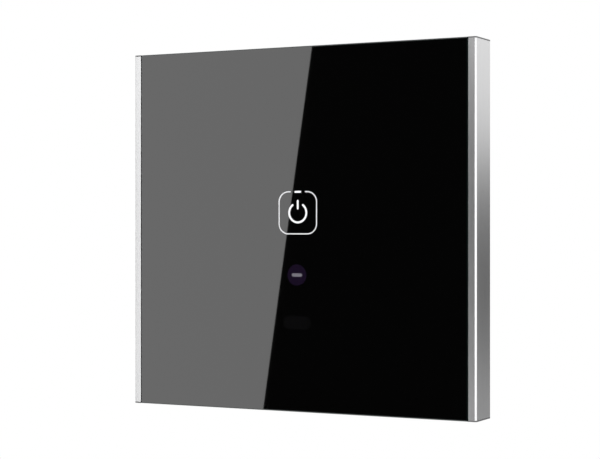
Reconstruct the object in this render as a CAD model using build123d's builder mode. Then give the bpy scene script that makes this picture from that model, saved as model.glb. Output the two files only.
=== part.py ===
from build123d import *
from math import atan2, cos, pi, radians, sin
import os

# A touch light switch with a glass front, one labelled solid or group of solids for each piece.
# X runs to the right and Z up as one looks at the wall, and the front faces -Y. The origin is on
# the wall, midway between the two fixing slots. A depth is a distance from the wall: plus towards
# the room and minus into the wall box. All sizes are in millimetres.

os.makedirs("parts", exist_ok=True)

# Sizes of the glass and what is printed on it
panel_width = 90.3  # over the two rails
panel_height = 86.0
panel_depth = 9.15  # from the wall to the front of the glass
glass_thickness = 3.0
glass_arris = 0.25
print_thickness = 0.15
film_thickness = 0.3
film_inset = 0.5
film_window_margin = 0.6

key_rise = 3.85  # from the panel's middle up to the middle of the key
key_shift = 0.4  # how far right of the middle the key is printed
key_outline_size = 9.9
key_outline_radius = 2.4
key_outline_stroke = 0.28
key_outline_opening = 3.8
key_light_rise = 4.92  # from the middle of the key
key_light_length = 1.78
key_light_width = 0.45
power_radius = 2.26
power_stroke = 0.48
power_opening_angle = 73.0
power_stem_length = 2.26
power_stem_rise = 1.9
status_drop = 10.78  # from the panel's middle down to the status window
status_shift = 0.18  # how far right of the middle it and the receiver's window are printed
status_radius = 2.5
status_slot_length = 2.75
status_slot_width = 0.8
receiver_drop = 21.97
receiver_length = 7.3
receiver_width = 3.2

# Sizes of the rails
rail_face = 1.9  # the front strip with its bevel
rail_bevel = 0.38
rail_rear_bevel = 0.15
rail_wall = 0.6
rail_front_wall = 0.9
rail_off_wall = 0.35
rail_gap = 0.05
tongue_reach = 0.9
tongue_thickness = 0.8
tongue_behind_film = 2.3
groove_gap = 0.1
cap_thickness = 0.3
cap_plug_length = 5.0
cap_gap = 0.05

# Sizes of the carrier behind the glass
carrier_plate = 1.0
carrier_inset = 0.3  # the tray stops this far inside the glass, above and below
carrier_side_wall = 1.8
carrier_end_wall = 1.2
carrier_off_wall = 0.6
carrier_rib_height = 0.6
carrier_rib_thickness = 1.0
carrier_rib_spread = 60.0
carrier_window_gap = 0.8
hook_width = 6.0
hook_thickness = 1.2
hook_spread = 50.0
hook_inset = 4.1  # from the edge of the base frame to the middle of a hook
hook_off_wall = 0.5
hook_lead = 0.2  # how far the hook's tip is cut back
barb_reach = 0.5
barb_rise = 0.7
pry_width = 10.0
pry_height = 1.4

# Sizes of the base frame
frame_gap = 0.4
flange_thickness = 2.0
flange_radius = 1.5
rim_thickness = 1.2
rim_height = 1.4
fixing_spacing = 60.3
fixing_slot_length = 7.0
fixing_slot_width = 4.2
fixing_recess_width = 8.6
fixing_recess_depth = 0.8
core_out_depth = 0.8
side_core_width = 3.4
side_core_length = 22.0
end_core_width = 26.0
end_core_height = 5.0
core_out_inset = 2.0
pan_gap = 0.2
pan_wall = 1.2
pan_floor = 1.6
pan_reach = 3.2  # how far the pan goes into the wall box
catch_window_side_gap = 0.5
catch_window_gap = 0.6
catch_width = 5.0
catch_steel = 0.25
catch_bend = 0.3
catch_tab_thickness = 1.0
catch_tab_height = 1.0

# Sizes of the rear housing
housing_width = 50.0
housing_height = 58.0
housing_depth = 27.0
housing_wall = 1.6
housing_back = 1.8
housing_radius = 4.0
housing_edge = 1.2
housing_groove = 0.5  # how far the housing's rim sits in the flange
housing_rim_gap = 0.15
column_radius = 3.3
column_inset = 4.8
screw_sink_radius = 2.6
screw_sink_depth = 11.2
screw_radius = 1.3
screw_gap = 0.05
screw_head_radius = 2.3
screw_head_height = 1.8
screw_head_edge = 0.45
screw_cross = 2.8
screw_cross_width = 0.65
screw_cross_depth = 0.9
screw_bite = 4.5
boss_radius = 2.5
vent_count = 6
vent_pitch = 3.4
vent_length = 20.0
vent_width = 1.5
vent_rise = 12.0
side_vent_count = 4
side_vent_pitch = 3.0
side_vent_length = 9.0
side_vent_width = 1.2
label_width = 34.0
label_height = 12.0
label_depth = 0.3
label_drop = 7.5
label_radius = 1.0

# Sizes of the two boards and their link
board_gap = 0.3
touch_board_thickness = 1.2
touch_pad_height = 0.6
touch_pad_radius = 2.4
touch_pad_spread_x = 28.0
touch_pad_spread_z = 46.0
small_screw_radius = 0.85
small_screw_length = 1.9
small_screw_head_radius = 1.8
small_screw_head_height = 1.1
small_screw_head_edge = 0.25
small_screw_cross = 2.1
small_screw_cross_width = 0.6
small_screw_cross_depth = 0.55
power_board_thickness = 1.6
power_board_behind_wall = 8.0
board_post_radius = 1.5
board_post_spread = 38.0
board_post_drop = 3.0
board_ledge = 2.0
board_ledge_thickness = 1.6
board_ledge_heights = (1.5, -12.5)
pin_count = 6
pin_pitch = 2.54
pin_side = 0.64
header_x = -14.0
strip_width = 2.5
strip_height = 2.5

# Sizes of the parts on the touch board
light_block_width = 13.0
light_block_margin = 2.6  # above the key light and below the receiver
light_block_gap = 0.2
light_block_radius = 1.0
spring_radius = 3.0
spring_wire = 0.6
spring_turns = 3
spring_leg = 0.6
spring_bend = 0.9
spring_well_radius = 3.7
spring_film_gap = 0.1
guide_length = 3.2
guide_width = 1.4
guide_radius = 2.1
guide_lamp_gap = 0.2
guide_film_gap = 0.1
lamp_length = 1.6
lamp_width = 0.8
lamp_height = 0.6
lamp_edge = 0.1
receiver_body_width = 6.0
receiver_body_height = 3.8
receiver_body_depth = 2.0
receiver_body_edge = 0.2
receiver_lens_radius = 1.3
fit_gap = 0.15  # round the parts that sit in the light block
chip_side = 5.0
chip_height = 0.9
chip_edge = 0.15
chip_x = -13.0
chip_z = 13.0
radio_x = 13.5
radio_z = 10.0
radio_width = 11.0
radio_height = 17.0
radio_board_thickness = 0.8
radio_shield_width = 9.6
radio_shield_height = 11.0
radio_shield_depth = 1.6
radio_shield_margin = 0.6
radio_shield_edge = 0.4
passive_length = 1.6
passive_width = 0.8
passive_height = 0.6
passive_pitch = 3.2
passive_rows = 5
passive_x = 13.5
passive_z = -13.0

# Sizes of the terminals
pole_count = 3
pole_pitch = 7.62
block_side_wall = 4.41  # from an outer screw to the block's end
block_height = 9.0
block_recess = 0.2
terminal_rise = 4.8  # from the block's bottom to the screws
well_radius = 2.7
terminal_head_recess = 0.5
terminal_head_radius = 2.5
terminal_head_height = 2.1
terminal_head_edge = 0.35
terminal_cross = 3.2
terminal_cross_width = 0.65
terminal_cross_depth = 1.0
terminal_slot_width = 0.8
terminal_slot_depth = 0.7
terminal_shelf = 1.2
terminal_screw_radius = 1.5
terminal_screw_gap = 0.06
thread_pitch = 0.5
clamp_turns = 4
clamp_width = 5.8
clamp_height = 5.0
clamp_side = 0.8
clamp_nut = 1.2
clamp_jaw = 0.8
clamp_opening = 4.8
clamp_gap = 0.15
clamp_end_gap = 0.2
chamber_gap = 0.3  # above and below a clamp
plate_width = 3.6
plate_thickness = 1.0
plate_gap = 0.1
wire_hole_radius = 1.75
funnel_radius = 2.5
funnel_depth = 0.6

# Sizes of the relay
relay_x = -12.5
relay_z = 12.5
relay_width = 19.0
relay_height = 15.5
relay_depth = 15.3
relay_wall = 0.8
relay_base_thickness = 2.2
relay_gap = 0.1
relay_leg_gap = 0.9  # between the cover and the yoke's leg
yoke_thickness = 1.0
yoke_width = 8.0
bobbin_core_radius = 1.6
bobbin_tube = 0.6
bobbin_flange_radius = 4.3
bobbin_flange = 0.7
bobbin_length = 7.6
coil_radius = 4.0
pole_cap_radius = 3.0
pole_cap_thickness = 0.8
armature_thickness = 1.0
armature_gap = 0.6
armature_lift = 0.1
leg_from_coil = 5.6
blade_thickness = 0.2
blade_width = 5.0
contact_radius = 1.2
contact_height = 0.7
contact_gap = 0.9
contact_from_coil = 8.3
contact_plate_thickness = 0.6

# Sizes of the other parts on the power board
transformer_x = 5.0
transformer_z = 14.5
transformer_width = 13.0
transformer_height = 12.0
transformer_depth = 10.0
transformer_leg = 2.4
transformer_coil_gap = 0.2
smoothing_x = 17.6
smoothing_z = (17.0, 9.0)
smoothing_radius = 3.15
smoothing_length = 11.0
smoothing_edge = 0.5
filter_x = -6.5
filter_z = 24.3
filter_width = 13.0
filter_height = 5.0
filter_depth = 12.0
filter_edge = 0.6
varistor_x = 8.5
varistor_z = 24.2
varistor_radius = 4.8
varistor_thickness = 3.8
varistor_edge = 0.9
fuse_x = -15.5
fuse_z = -4.5
fuse_radius = 4.2
fuse_length = 8.0
fuse_edge = 0.5
choke_x = -4.5
choke_z = -4.5
choke_radius = 4.0
choke_length = 9.0
choke_waist = 3.0
choke_flange = 1.2
rectifier_x = 9.0
rectifier_z = -4.0
rectifier_width = 8.0
rectifier_height = 6.0
rectifier_depth = 2.6
rectifier_edge = 0.3

# Places that follow from the sizes above
rail_outer = panel_width / 2
rail_inner = rail_outer - rail_face
rail_length = panel_height - 2 * cap_thickness
glass_width = 2 * (rail_inner - rail_gap)
glass_rear = panel_depth - glass_thickness
film_rear = glass_rear - film_thickness
plate_rear = film_rear - carrier_plate
tongue_depth = film_rear - tongue_behind_film
carrier_height = panel_height - 2 * carrier_inset
frame_width = glass_width - 2 * (carrier_side_wall + frame_gap)
frame_height = carrier_height - 2 * (carrier_end_wall + frame_gap)
hook_rise = frame_height / 2 - hook_inset

key_light_z = key_rise + key_light_rise
status_z = -status_drop
receiver_z = -receiver_drop

housing_inner_width = housing_width - 2 * housing_wall
housing_inner_height = housing_height - 2 * housing_wall
housing_inner_radius = housing_radius - housing_wall
back_inside = housing_back - housing_depth
column_x = housing_width / 2 - column_inset
column_z = housing_height / 2 - column_inset
column_places = [(x, z) for x in (-column_x, column_x) for z in (-column_z, column_z)]
pan_width = housing_inner_width - 2 * pan_gap
pan_height = housing_inner_height - 2 * pan_gap
pan_inner_width = pan_width - 2 * pan_wall
pan_inner_height = pan_height - 2 * pan_wall
pan_radius = housing_inner_radius - pan_gap
pan_inner_radius = pan_radius - pan_wall

touch_rear = pan_floor - pan_reach + touch_pad_height
touch_front = touch_rear + touch_board_thickness
touch_pads = [
    (x, z)
    for x in (-touch_pad_spread_x / 2, touch_pad_spread_x / 2)
    for z in (-touch_pad_spread_z / 2, touch_pad_spread_z / 2)
]
power_front = -power_board_behind_wall
power_rear = power_front - power_board_thickness
boss_end = power_front - board_gap

block_front_face = film_rear - light_block_gap
light_block_top = key_light_z + light_block_margin
light_block_bottom = receiver_z - light_block_margin
light_block_height = light_block_top - light_block_bottom
light_block_z = (light_block_top + light_block_bottom) / 2

pole_places = [(n - (pole_count - 1) / 2) * pole_pitch for n in range(pole_count)]
block_width = (pole_count - 1) * pole_pitch + 2 * block_side_wall
block_bottom = housing_wall - housing_height / 2 + block_recess / 2
block_z = block_bottom + block_height / 2
terminal_z = block_bottom + terminal_rise
block_rear = block_recess - housing_depth
head_rear = block_rear + terminal_head_recess
shelf_rear = head_rear + terminal_head_height
shelf_front = shelf_rear + terminal_shelf
clamp_travel = thread_pitch * clamp_turns
clamp_rear = shelf_front + clamp_end_gap + clamp_travel + clamp_end_gap
clamp_window_rear = clamp_rear + clamp_nut
clamp_window_front = clamp_window_rear + clamp_opening
clamp_front = clamp_window_front + clamp_jaw
chamber_front = clamp_front + clamp_end_gap
plate_rear_face = clamp_window_rear + clamp_end_gap
plate_front_face = plate_rear_face + plate_thickness
wire_depth = (plate_front_face + clamp_window_front) / 2


def at_depth(depth):
    """The plane parallel to the wall at a depth, looking out into the room."""
    return Plane.XZ.offset(depth)


def slab(rear, front, width, height, places=((0, 0),), radius=0, mode=Mode.ADD):
    """A plate between two depths at each of some places, with round corners if it has a radius."""
    with BuildSketch(at_depth(rear)) as outline:
        with Locations(*places):
            if radius:
                RectangleRounded(width, height, radius)
            else:
                Rectangle(width, height)
    extrude(outline.sketch, amount=front - rear, mode=mode)


def disc(rear, front, radius, places=((0, 0),), mode=Mode.ADD):
    """A round bar between two depths at each of some places."""
    with BuildSketch(at_depth(rear)) as outline:
        with Locations(*places):
            Circle(radius)
    extrude(outline.sketch, amount=front - rear, mode=mode)


def slot(rear, front, length, width, places=((0, 0),), turn=0, mode=Mode.ADD):
    """A bar with round ends between two depths at each of some places."""
    with BuildSketch(at_depth(rear)) as outline:
        with Locations(*places):
            SlotOverall(length, width, rotation=turn)
    extrude(outline.sketch, amount=front - rear, mode=mode)


def save(piece, name):
    """Label a finished piece and write its file."""
    piece.part.label = name
    export_step(piece.part, f"parts/{name}.step")


# Glass and prints

def outline_sketch():
    """The rounded square round the key, open at its top."""
    outer = key_outline_size + key_outline_stroke
    inner = key_outline_size - key_outline_stroke
    with Locations((key_shift, key_rise)):
        RectangleRounded(outer, outer, key_outline_radius + key_outline_stroke / 2)
        RectangleRounded(inner, inner, key_outline_radius - key_outline_stroke / 2, mode=Mode.SUBTRACT)
    with Locations((key_shift, key_rise + key_outline_size / 2)):
        Rectangle(key_outline_opening, 2 * key_outline_stroke, mode=Mode.SUBTRACT)


def power_sketch():
    """The power symbol: a ring open at its top, with round ends, and a stem."""
    half_opening = radians(power_opening_angle / 2)
    end_x, end_z = power_radius * sin(half_opening), power_radius * cos(half_opening)
    with Locations((key_shift, key_rise)):
        Circle(power_radius + power_stroke / 2)
        Circle(power_radius - power_stroke / 2, mode=Mode.SUBTRACT)
        Polygon((0, 0), (2 * end_x, 2 * end_z), (-2 * end_x, 2 * end_z), align=None, mode=Mode.SUBTRACT)
    with Locations((key_shift - end_x, key_rise + end_z), (key_shift + end_x, key_rise + end_z)):
        Circle(power_stroke / 2)
    with Locations((key_shift, key_rise + power_stem_rise)):
        SlotOverall(power_stem_length, power_stroke, rotation=90)


def key_light_sketch():
    """The dash in the outline's opening."""
    with Locations((key_shift, key_light_z)):
        SlotOverall(key_light_length, key_light_width)


def status_sketch():
    """The round window."""
    with Locations((status_shift, status_z)):
        Circle(status_radius)


def status_slot_sketch():
    """The slot in the round window."""
    with Locations((status_shift, status_z)):
        SlotOverall(status_slot_length, status_slot_width)


def receiver_sketch():
    """The pill-shaped window."""
    with Locations((status_shift, receiver_z)):
        SlotOverall(receiver_length, receiver_width)


def inlay(draw, mode=Mode.ADD, but_for=None):
    """Fill or cut a print's pocket in the front of the glass, but for another print inside it."""
    with BuildSketch(at_depth(panel_depth - print_thickness)) as outline:
        draw()
    extrude(outline.sketch, amount=print_thickness, mode=mode)
    if but_for:
        inlay(but_for, mode=Mode.SUBTRACT)


with BuildPart() as glass_panel:
    slab(glass_rear, panel_depth, glass_width, panel_height)
    faces_along = glass_panel.faces().filter_by(Axis.Y)
    chamfer(faces_along.edges(), glass_arris)
    for draw in (outline_sketch, power_sketch, key_light_sketch, status_sketch, receiver_sketch):
        inlay(draw, mode=Mode.SUBTRACT)
save(glass_panel, "glass_panel")

with BuildPart() as key_outline:
    inlay(outline_sketch)
save(key_outline, "key_outline")

with BuildPart() as power_symbol:
    inlay(power_sketch)
save(power_symbol, "power_symbol")

with BuildPart() as key_light_window:
    inlay(key_light_sketch)
save(key_light_window, "key_light_window")

with BuildPart() as status_window:
    inlay(status_sketch, but_for=status_slot_sketch)
save(status_window, "status_window")

with BuildPart() as status_slot:
    inlay(status_slot_sketch)
save(status_slot, "status_slot")

with BuildPart() as receiver_window:
    inlay(receiver_sketch)
save(receiver_window, "receiver_window")

# Bonding film, with a window over each lamp and over the receiver
guide_window_length = guide_length + 2 * film_window_margin
guide_window_width = guide_width + 2 * film_window_margin

with BuildPart() as bonding_film:
    slab(film_rear, glass_rear, glass_width - 2 * film_inset, carrier_height - 2 * film_inset)
    slot(film_rear, glass_rear, guide_window_length, guide_window_width,
         [(0, key_light_z)], mode=Mode.SUBTRACT)
    disc(film_rear, glass_rear, guide_radius + film_window_margin, [(0, status_z)], mode=Mode.SUBTRACT)
    slot(film_rear, glass_rear, receiver_length, receiver_width, [(0, receiver_z)], mode=Mode.SUBTRACT)
save(bonding_film, "bonding_film")


# Side rails

def rail_outline(side):
    """A rail's outline seen along its length, on the right for side 1 and on the left for side -1."""
    with BuildLine() as edge:
        Polyline(
            (side * rail_inner, -rail_off_wall),
            (side * rail_inner, -panel_depth),
            (side * (rail_outer - rail_bevel), -panel_depth),
            (side * rail_outer, rail_bevel - panel_depth),
            (side * rail_outer, -rail_off_wall - rail_rear_bevel),
            (side * (rail_outer - rail_rear_bevel), -rail_off_wall),
            close=True,
        )
    make_face(edge.line)


bore_rear = rail_off_wall + rail_wall
bore_front = panel_depth - rail_front_wall
bore_width = rail_face - 2 * rail_wall
bore_height = bore_front - bore_rear
bore_x = (rail_inner + rail_outer) / 2
bore_depth = (bore_rear + bore_front) / 2

for side, rail_name in ((-1, "left_side_rail"), (1, "right_side_rail")):
    with BuildPart() as side_rail:
        with BuildSketch(Plane.XY.offset(-rail_length / 2)):
            rail_outline(side)
            with Locations((side * (rail_inner - tongue_reach / 2), -tongue_depth)):
                Rectangle(tongue_reach, tongue_thickness)
            with Locations((side * bore_x, -bore_depth)):
                Rectangle(bore_width, bore_height, mode=Mode.SUBTRACT)
        extrude(amount=rail_length)
    save(side_rail, rail_name)

with BuildPart() as rail_end_caps:
    for side in (-1, 1):
        with BuildSketch(Plane.XY.offset(rail_length / 2)):
            rail_outline(side)
        extrude(amount=cap_thickness)
        with BuildSketch(Plane.XY.offset(rail_length / 2)):
            with Locations((side * bore_x, -bore_depth)):
                Rectangle(bore_width - 2 * cap_gap, bore_height - 2 * cap_gap)
        extrude(amount=-cap_plug_length)
    mirror(about=Plane.XY)
save(rail_end_caps, "rail_end_caps")


# Carrier behind the glass

def beside_hook(points, side, along_x, width):
    """A strip across the middle of a hook: its points are (towards the edge, depth)."""
    with BuildSketch(Plane.YZ.offset(along_x - width / 2)) as profile:
        with BuildLine():
            Polyline(*[(-depth, side * (hook_rise + out)) for out, depth in points], close=True)
        make_face()
    extrude(profile.sketch, amount=width)


hook_places = [(x, side) for x in (-hook_spread / 2, hook_spread / 2) for side in (-1, 1)]
barb_depth = hook_off_wall + barb_rise
window_gap = 2 * carrier_window_gap

with BuildPart() as panel_carrier:
    slab(carrier_off_wall, film_rear, glass_width, carrier_height)
    slab(carrier_off_wall, plate_rear, glass_width - 2 * carrier_side_wall,
         carrier_height - 2 * carrier_end_wall, mode=Mode.SUBTRACT)
    slab(plate_rear, film_rear, light_block_width + window_gap, light_block_height + window_gap,
         [(0, light_block_z)], mode=Mode.SUBTRACT)
    slab(plate_rear - carrier_rib_height, plate_rear, carrier_rib_thickness,
         carrier_height - 2 * carrier_end_wall, [(-carrier_rib_spread / 2, 0), (carrier_rib_spread / 2, 0)])
    groove_x = glass_width / 2 - (tongue_reach - rail_gap + groove_gap) / 2
    with BuildSketch(Plane.XY.offset(-carrier_height / 2)) as groove:
        with Locations((-groove_x, -tongue_depth), (groove_x, -tongue_depth)):
            Rectangle(tongue_reach - rail_gap + groove_gap, tongue_thickness + 2 * groove_gap)
    extrude(groove.sketch, amount=carrier_height, mode=Mode.SUBTRACT)
    slab(carrier_off_wall, carrier_off_wall + pry_height, pry_width, carrier_end_wall,
         [(0, (carrier_end_wall - carrier_height) / 2)], mode=Mode.SUBTRACT)
    for x, side in hook_places:
        beside_hook(
            [
                (hook_thickness / 2, plate_rear),
                (hook_thickness / 2, hook_off_wall),
                (hook_lead - hook_thickness / 2, hook_off_wall),
                (-hook_thickness / 2 - barb_reach, barb_depth),
                (-hook_thickness / 2, barb_depth + barb_rise),
                (-hook_thickness / 2, plate_rear),
            ],
            side, x, hook_width,
        )
save(panel_carrier, "panel_carrier")

# Spring clips that hold the hooks, each bent from one strip
nose = -hook_thickness / 2 - catch_steel
foot = -hook_thickness / 2 - barb_reach - 2 * catch_steel - catch_bend * 2
barb_clear = foot + catch_steel * 2
tab_face = foot - catch_steel / 2
tab_front = flange_thickness + catch_tab_height

with BuildPart() as panel_catches:
    for x, side in hook_places:
        with BuildSketch(Plane.YZ.offset(x - catch_width / 2)) as strip:
            with BuildLine():
                strip_path = [
                    (foot, hook_off_wall),
                    (foot, tab_front + catch_bend),
                    (nose, barb_depth + 2 * barb_rise),
                    (barb_clear, barb_depth + catch_bend),
                    (barb_clear, hook_off_wall),
                ]
                FilletPolyline(
                    *[(-depth, side * (hook_rise + out)) for out, depth in strip_path], radius=catch_bend
                )
            trace(line_width=catch_steel)
        extrude(strip.sketch, amount=catch_width)
save(panel_catches, "panel_catches")

# Base frame: flange, rim, pan, fixing slots and windows for the hooks
fixing_places = [(-fixing_spacing / 2, 0), (fixing_spacing / 2, 0)]
fixing_margin = fixing_recess_width - fixing_slot_width
catch_window_outer = hook_thickness / 2 + catch_window_gap
catch_window_z = hook_rise + (catch_window_outer + tab_face) / 2
catch_window_height = catch_window_outer - tab_face
catch_window_places = [(x, side * catch_window_z) for x, side in hook_places]
catch_window_width = hook_width + 2 * catch_window_side_gap
tab_places = [(x, side * (hook_rise + tab_face - catch_tab_thickness / 2)) for x, side in hook_places]
side_core_x = frame_width / 2 - core_out_inset - side_core_width / 2
end_core_z = frame_height / 2 - core_out_inset - end_core_height / 2
header_length = pin_count * pin_pitch
groove_width = housing_width + 2 * housing_rim_gap
groove_height = housing_height + 2 * housing_rim_gap

with BuildPart() as base_frame:
    slab(0, flange_thickness + rim_height, frame_width, frame_height, radius=flange_radius)
    slab(flange_thickness, flange_thickness + rim_height, frame_width - 2 * rim_thickness,
         frame_height - 2 * rim_thickness, mode=Mode.SUBTRACT)
    slab(0, housing_groove, groove_width, groove_height, radius=housing_radius + housing_rim_gap,
         mode=Mode.SUBTRACT)
    slab(-pan_reach, housing_groove, pan_width, pan_height, radius=pan_radius)
    slab(pan_floor - pan_reach, flange_thickness, pan_inner_width, pan_inner_height,
         radius=pan_inner_radius, mode=Mode.SUBTRACT)
    disc(boss_end, -pan_reach, boss_radius, column_places)
    disc(power_front, -pan_reach, board_post_radius,
         [(-board_post_spread / 2, -board_post_drop), (board_post_spread / 2, -board_post_drop)])
    disc(boss_end, boss_end + screw_bite, screw_radius + screw_gap, column_places, mode=Mode.SUBTRACT)
    disc(pan_floor - pan_reach, touch_rear, touch_pad_radius, touch_pads)
    disc(touch_rear - small_screw_length, touch_rear, small_screw_radius + screw_gap, touch_pads,
         mode=Mode.SUBTRACT)
    slab(-pan_reach, 0, strip_width + 2 * board_gap, header_length + 2 * board_gap,
         [(header_x, 0)], mode=Mode.SUBTRACT)
    slot(0, flange_thickness, fixing_slot_length, fixing_slot_width, fixing_places, mode=Mode.SUBTRACT)
    slot(flange_thickness - fixing_recess_depth, flange_thickness, fixing_slot_length + fixing_margin,
         fixing_recess_width, fixing_places, mode=Mode.SUBTRACT)
    slab(0, flange_thickness, catch_window_width, catch_window_height, catch_window_places,
         mode=Mode.SUBTRACT)
    slab(flange_thickness, tab_front, catch_window_width, catch_tab_thickness, tab_places)
    slab(0, core_out_depth, side_core_width, side_core_length,
         [(x, z) for x in (-side_core_x, side_core_x) for z in (-column_z, column_z)], mode=Mode.SUBTRACT)
    slab(0, core_out_depth, end_core_width, end_core_height, [(0, -end_core_z), (0, end_core_z)],
         mode=Mode.SUBTRACT)
save(base_frame, "base_frame")

# Touch board and what stands on it
with BuildPart() as touch_board:
    slab(touch_rear, touch_front, pan_inner_width - 2 * board_gap, pan_inner_height - 2 * board_gap,
         radius=pan_inner_radius)
    disc(touch_rear, touch_front, small_screw_radius + screw_gap, touch_pads, mode=Mode.SUBTRACT)
save(touch_board, "touch_board")


def cross_recess(top, centre, length, width, depth, facing_wall_box=True):
    """A cross recess in a screw head."""
    rear, front = (top, top + depth) if facing_wall_box else (top - depth, top)
    slab(rear, front, length, width, centre, mode=Mode.SUBTRACT)
    slab(rear, front, width, length, centre, mode=Mode.SUBTRACT)


with BuildPart() as touch_board_screws:
    disc(touch_front - small_screw_length - touch_board_thickness + screw_gap, touch_front,
         small_screw_radius, touch_pads)
    disc(touch_front, touch_front + small_screw_head_height, small_screw_head_radius, touch_pads)
    rims = touch_board_screws.edges().filter_by(GeomType.CIRCLE).group_by(Axis.Y)[0]
    chamfer(rims, small_screw_head_edge)
    cross_recess(touch_front + small_screw_head_height, touch_pads, small_screw_cross,
                 small_screw_cross_width, small_screw_cross_depth, facing_wall_box=False)
save(touch_board_screws, "touch_board_screws")

with BuildPart() as light_block:
    slab(touch_front, block_front_face, light_block_width, light_block_height, [(0, light_block_z)],
         radius=light_block_radius)
    disc(touch_front, block_front_face, spring_well_radius, [(0, key_rise)], mode=Mode.SUBTRACT)
    slot(touch_front, block_front_face, guide_length + 2 * fit_gap, guide_width + 2 * fit_gap,
         [(0, key_light_z)], mode=Mode.SUBTRACT)
    disc(touch_front, block_front_face, guide_radius + fit_gap, [(0, status_z)], mode=Mode.SUBTRACT)
    slab(touch_front, block_front_face, receiver_body_width + 2 * fit_gap,
         receiver_body_height + 2 * fit_gap, [(0, receiver_z)], mode=Mode.SUBTRACT)
save(light_block, "light_block")

guide_rear = touch_front + lamp_height + guide_lamp_gap
guide_front = film_rear - guide_film_gap

with BuildPart() as key_light_guide:
    slot(guide_rear, guide_front, guide_length, guide_width, [(0, key_light_z)])
save(key_light_guide, "key_light_guide")

with BuildPart() as status_light_guide:
    disc(guide_rear, guide_front, guide_radius, [(0, status_z)])
save(status_light_guide, "status_light_guide")

for lamp_name, lamp_z in (("key_lamp", key_light_z), ("status_lamp", status_z)):
    with BuildPart() as lamp:
        slab(touch_front, touch_front + lamp_height, lamp_length, lamp_width, [(0, lamp_z)])
        chamfer(lamp.faces().sort_by(Axis.Y)[0].edges(), lamp_edge)
    save(lamp, lamp_name)

receiver_body_front = touch_front + receiver_body_depth

with BuildPart() as infrared_receiver:
    slab(touch_front, receiver_body_front, receiver_body_width, receiver_body_height, [(0, receiver_z)])
    chamfer(infrared_receiver.faces().sort_by(Axis.Y)[0].edges(), receiver_body_edge)
    with Locations((0, -receiver_body_front, receiver_z)):
        Sphere(receiver_lens_radius)
save(infrared_receiver, "infrared_receiver")

with BuildPart() as touch_chip:
    slab(touch_front, touch_front + chip_height, chip_side, chip_side, [(chip_x, chip_z)])
    chamfer(touch_chip.faces().sort_by(Axis.Y)[0].edges(), chip_edge)
save(touch_chip, "touch_chip")

passive_places = [
    (side * passive_x, passive_z + (row - (passive_rows - 1) / 2) * passive_pitch)
    for side in (-1, 1) for row in range(passive_rows)
]

with BuildPart() as touch_board_parts:
    slab(touch_front, touch_front + passive_height, passive_length, passive_width, passive_places)
save(touch_board_parts, "touch_board_parts")

radio_front = touch_front + radio_board_thickness

with BuildPart() as radio_board:
    slab(touch_front, radio_front, radio_width, radio_height, [(radio_x, radio_z)])
save(radio_board, "radio_board")

with BuildPart() as radio_shield:
    shield_z = radio_z - (radio_height - radio_shield_height) / 2 + radio_shield_margin
    slab(radio_front, radio_front + radio_shield_depth, radio_shield_width, radio_shield_height,
         [(radio_x, shield_z)])
    fillet(radio_shield.faces().sort_by(Axis.Y)[0].edges(), radio_shield_edge)
save(radio_shield, "radio_shield")


# Touch spring: one wire that stands on the board and winds up to just behind the film

def arc_middle(start, direction, end):
    """The middle of the arc that leaves start along a direction and reaches end."""
    chord = end - start
    across = direction - chord.normalized() * direction.dot(chord.normalized())
    half_turn = atan2(across.length, direction.dot(chord.normalized())) / 2
    lift = chord.length / 2 * sin(half_turn) / cos(half_turn)
    return start + chord / 2 + across.normalized() * lift


def biarc(start, start_way, end, end_way):
    """Two arcs that join two points and keep the directions at both: a list of (start, middle, end)."""
    chord, both = end - start, start_way + end_way
    spread = 2 * (1 - start_way.dot(end_way))
    lead = chord.dot(both)
    reach = (-lead + (lead * lead + spread * chord.dot(chord)) ** 0.5) / spread
    joint = (start + start_way * reach + end - end_way * reach) / 2
    middle = arc_middle(start, start_way, joint)
    back = arc_middle(end, end_way * -1, joint)
    return [(start, middle, joint), (joint, back, end)]


spring_foot = touch_front
spring_first = spring_foot + spring_leg + spring_bend
spring_last = film_rear - spring_film_gap - spring_wire / 2
spring_pitch = (spring_last - spring_first) / spring_turns


def spring_point(turn):
    """The point of the coil's centre line after some turns."""
    angle = 2 * pi * turn
    return Vector(
        spring_radius * cos(angle),
        -(spring_first + spring_pitch * turn),
        key_rise + spring_radius * sin(angle),
    )


def spring_way(turn):
    """The direction of the coil's centre line after some turns."""
    angle = 2 * pi * turn
    rise = spring_pitch / (2 * pi * spring_radius)
    return Vector(-sin(angle), -rise, cos(angle)).normalized()


quarter_turns = [n / 4 for n in range(4 * spring_turns + 1)]
leg_top = spring_point(0) - spring_way(0) * spring_bend
leg_top = Vector(leg_top.X, -(spring_foot + spring_leg), leg_top.Z)
leg_foot = Vector(leg_top.X, -spring_foot, leg_top.Z)
spring_arcs = biarc(leg_top, Vector(0, -1, 0), spring_point(0), spring_way(0))
for turn, next_turn in zip(quarter_turns, quarter_turns[1:]):
    spring_arcs += biarc(
        spring_point(turn), spring_way(turn), spring_point(next_turn), spring_way(next_turn)
    )
spring_end = spring_arcs[-1][2] + spring_way(spring_turns) * spring_wire

with BuildPart() as touch_spring:
    with BuildLine() as wire_path:
        Line(leg_foot, leg_top)
        for start, middle, end in spring_arcs:
            ThreePointArc(start, middle, end)
        Line(spring_arcs[-1][2], spring_end)
    with BuildSketch(Plane(origin=leg_foot, z_dir=(0, -1, 0))) as wire_section:
        Circle(spring_wire / 2)
    sweep(wire_section.sketch, path=wire_path.wires()[0])
save(touch_spring, "touch_spring")

samples_a_turn = 48
path_length = wire_path.wires()[0].length
sample_count = round(samples_a_turn * path_length / (2 * pi * spring_radius))
wire_samples = [wire_path.wires()[0].position_at(n / sample_count) for n in range(sample_count + 1)]
least_gap = min(
    (here - there).length
    for n, here in enumerate(wire_samples)
    for there in wire_samples[n + samples_a_turn // 2:]
) - spring_wire
print(f"touch_spring: least gap to itself {least_gap:.2f} mm")

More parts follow.
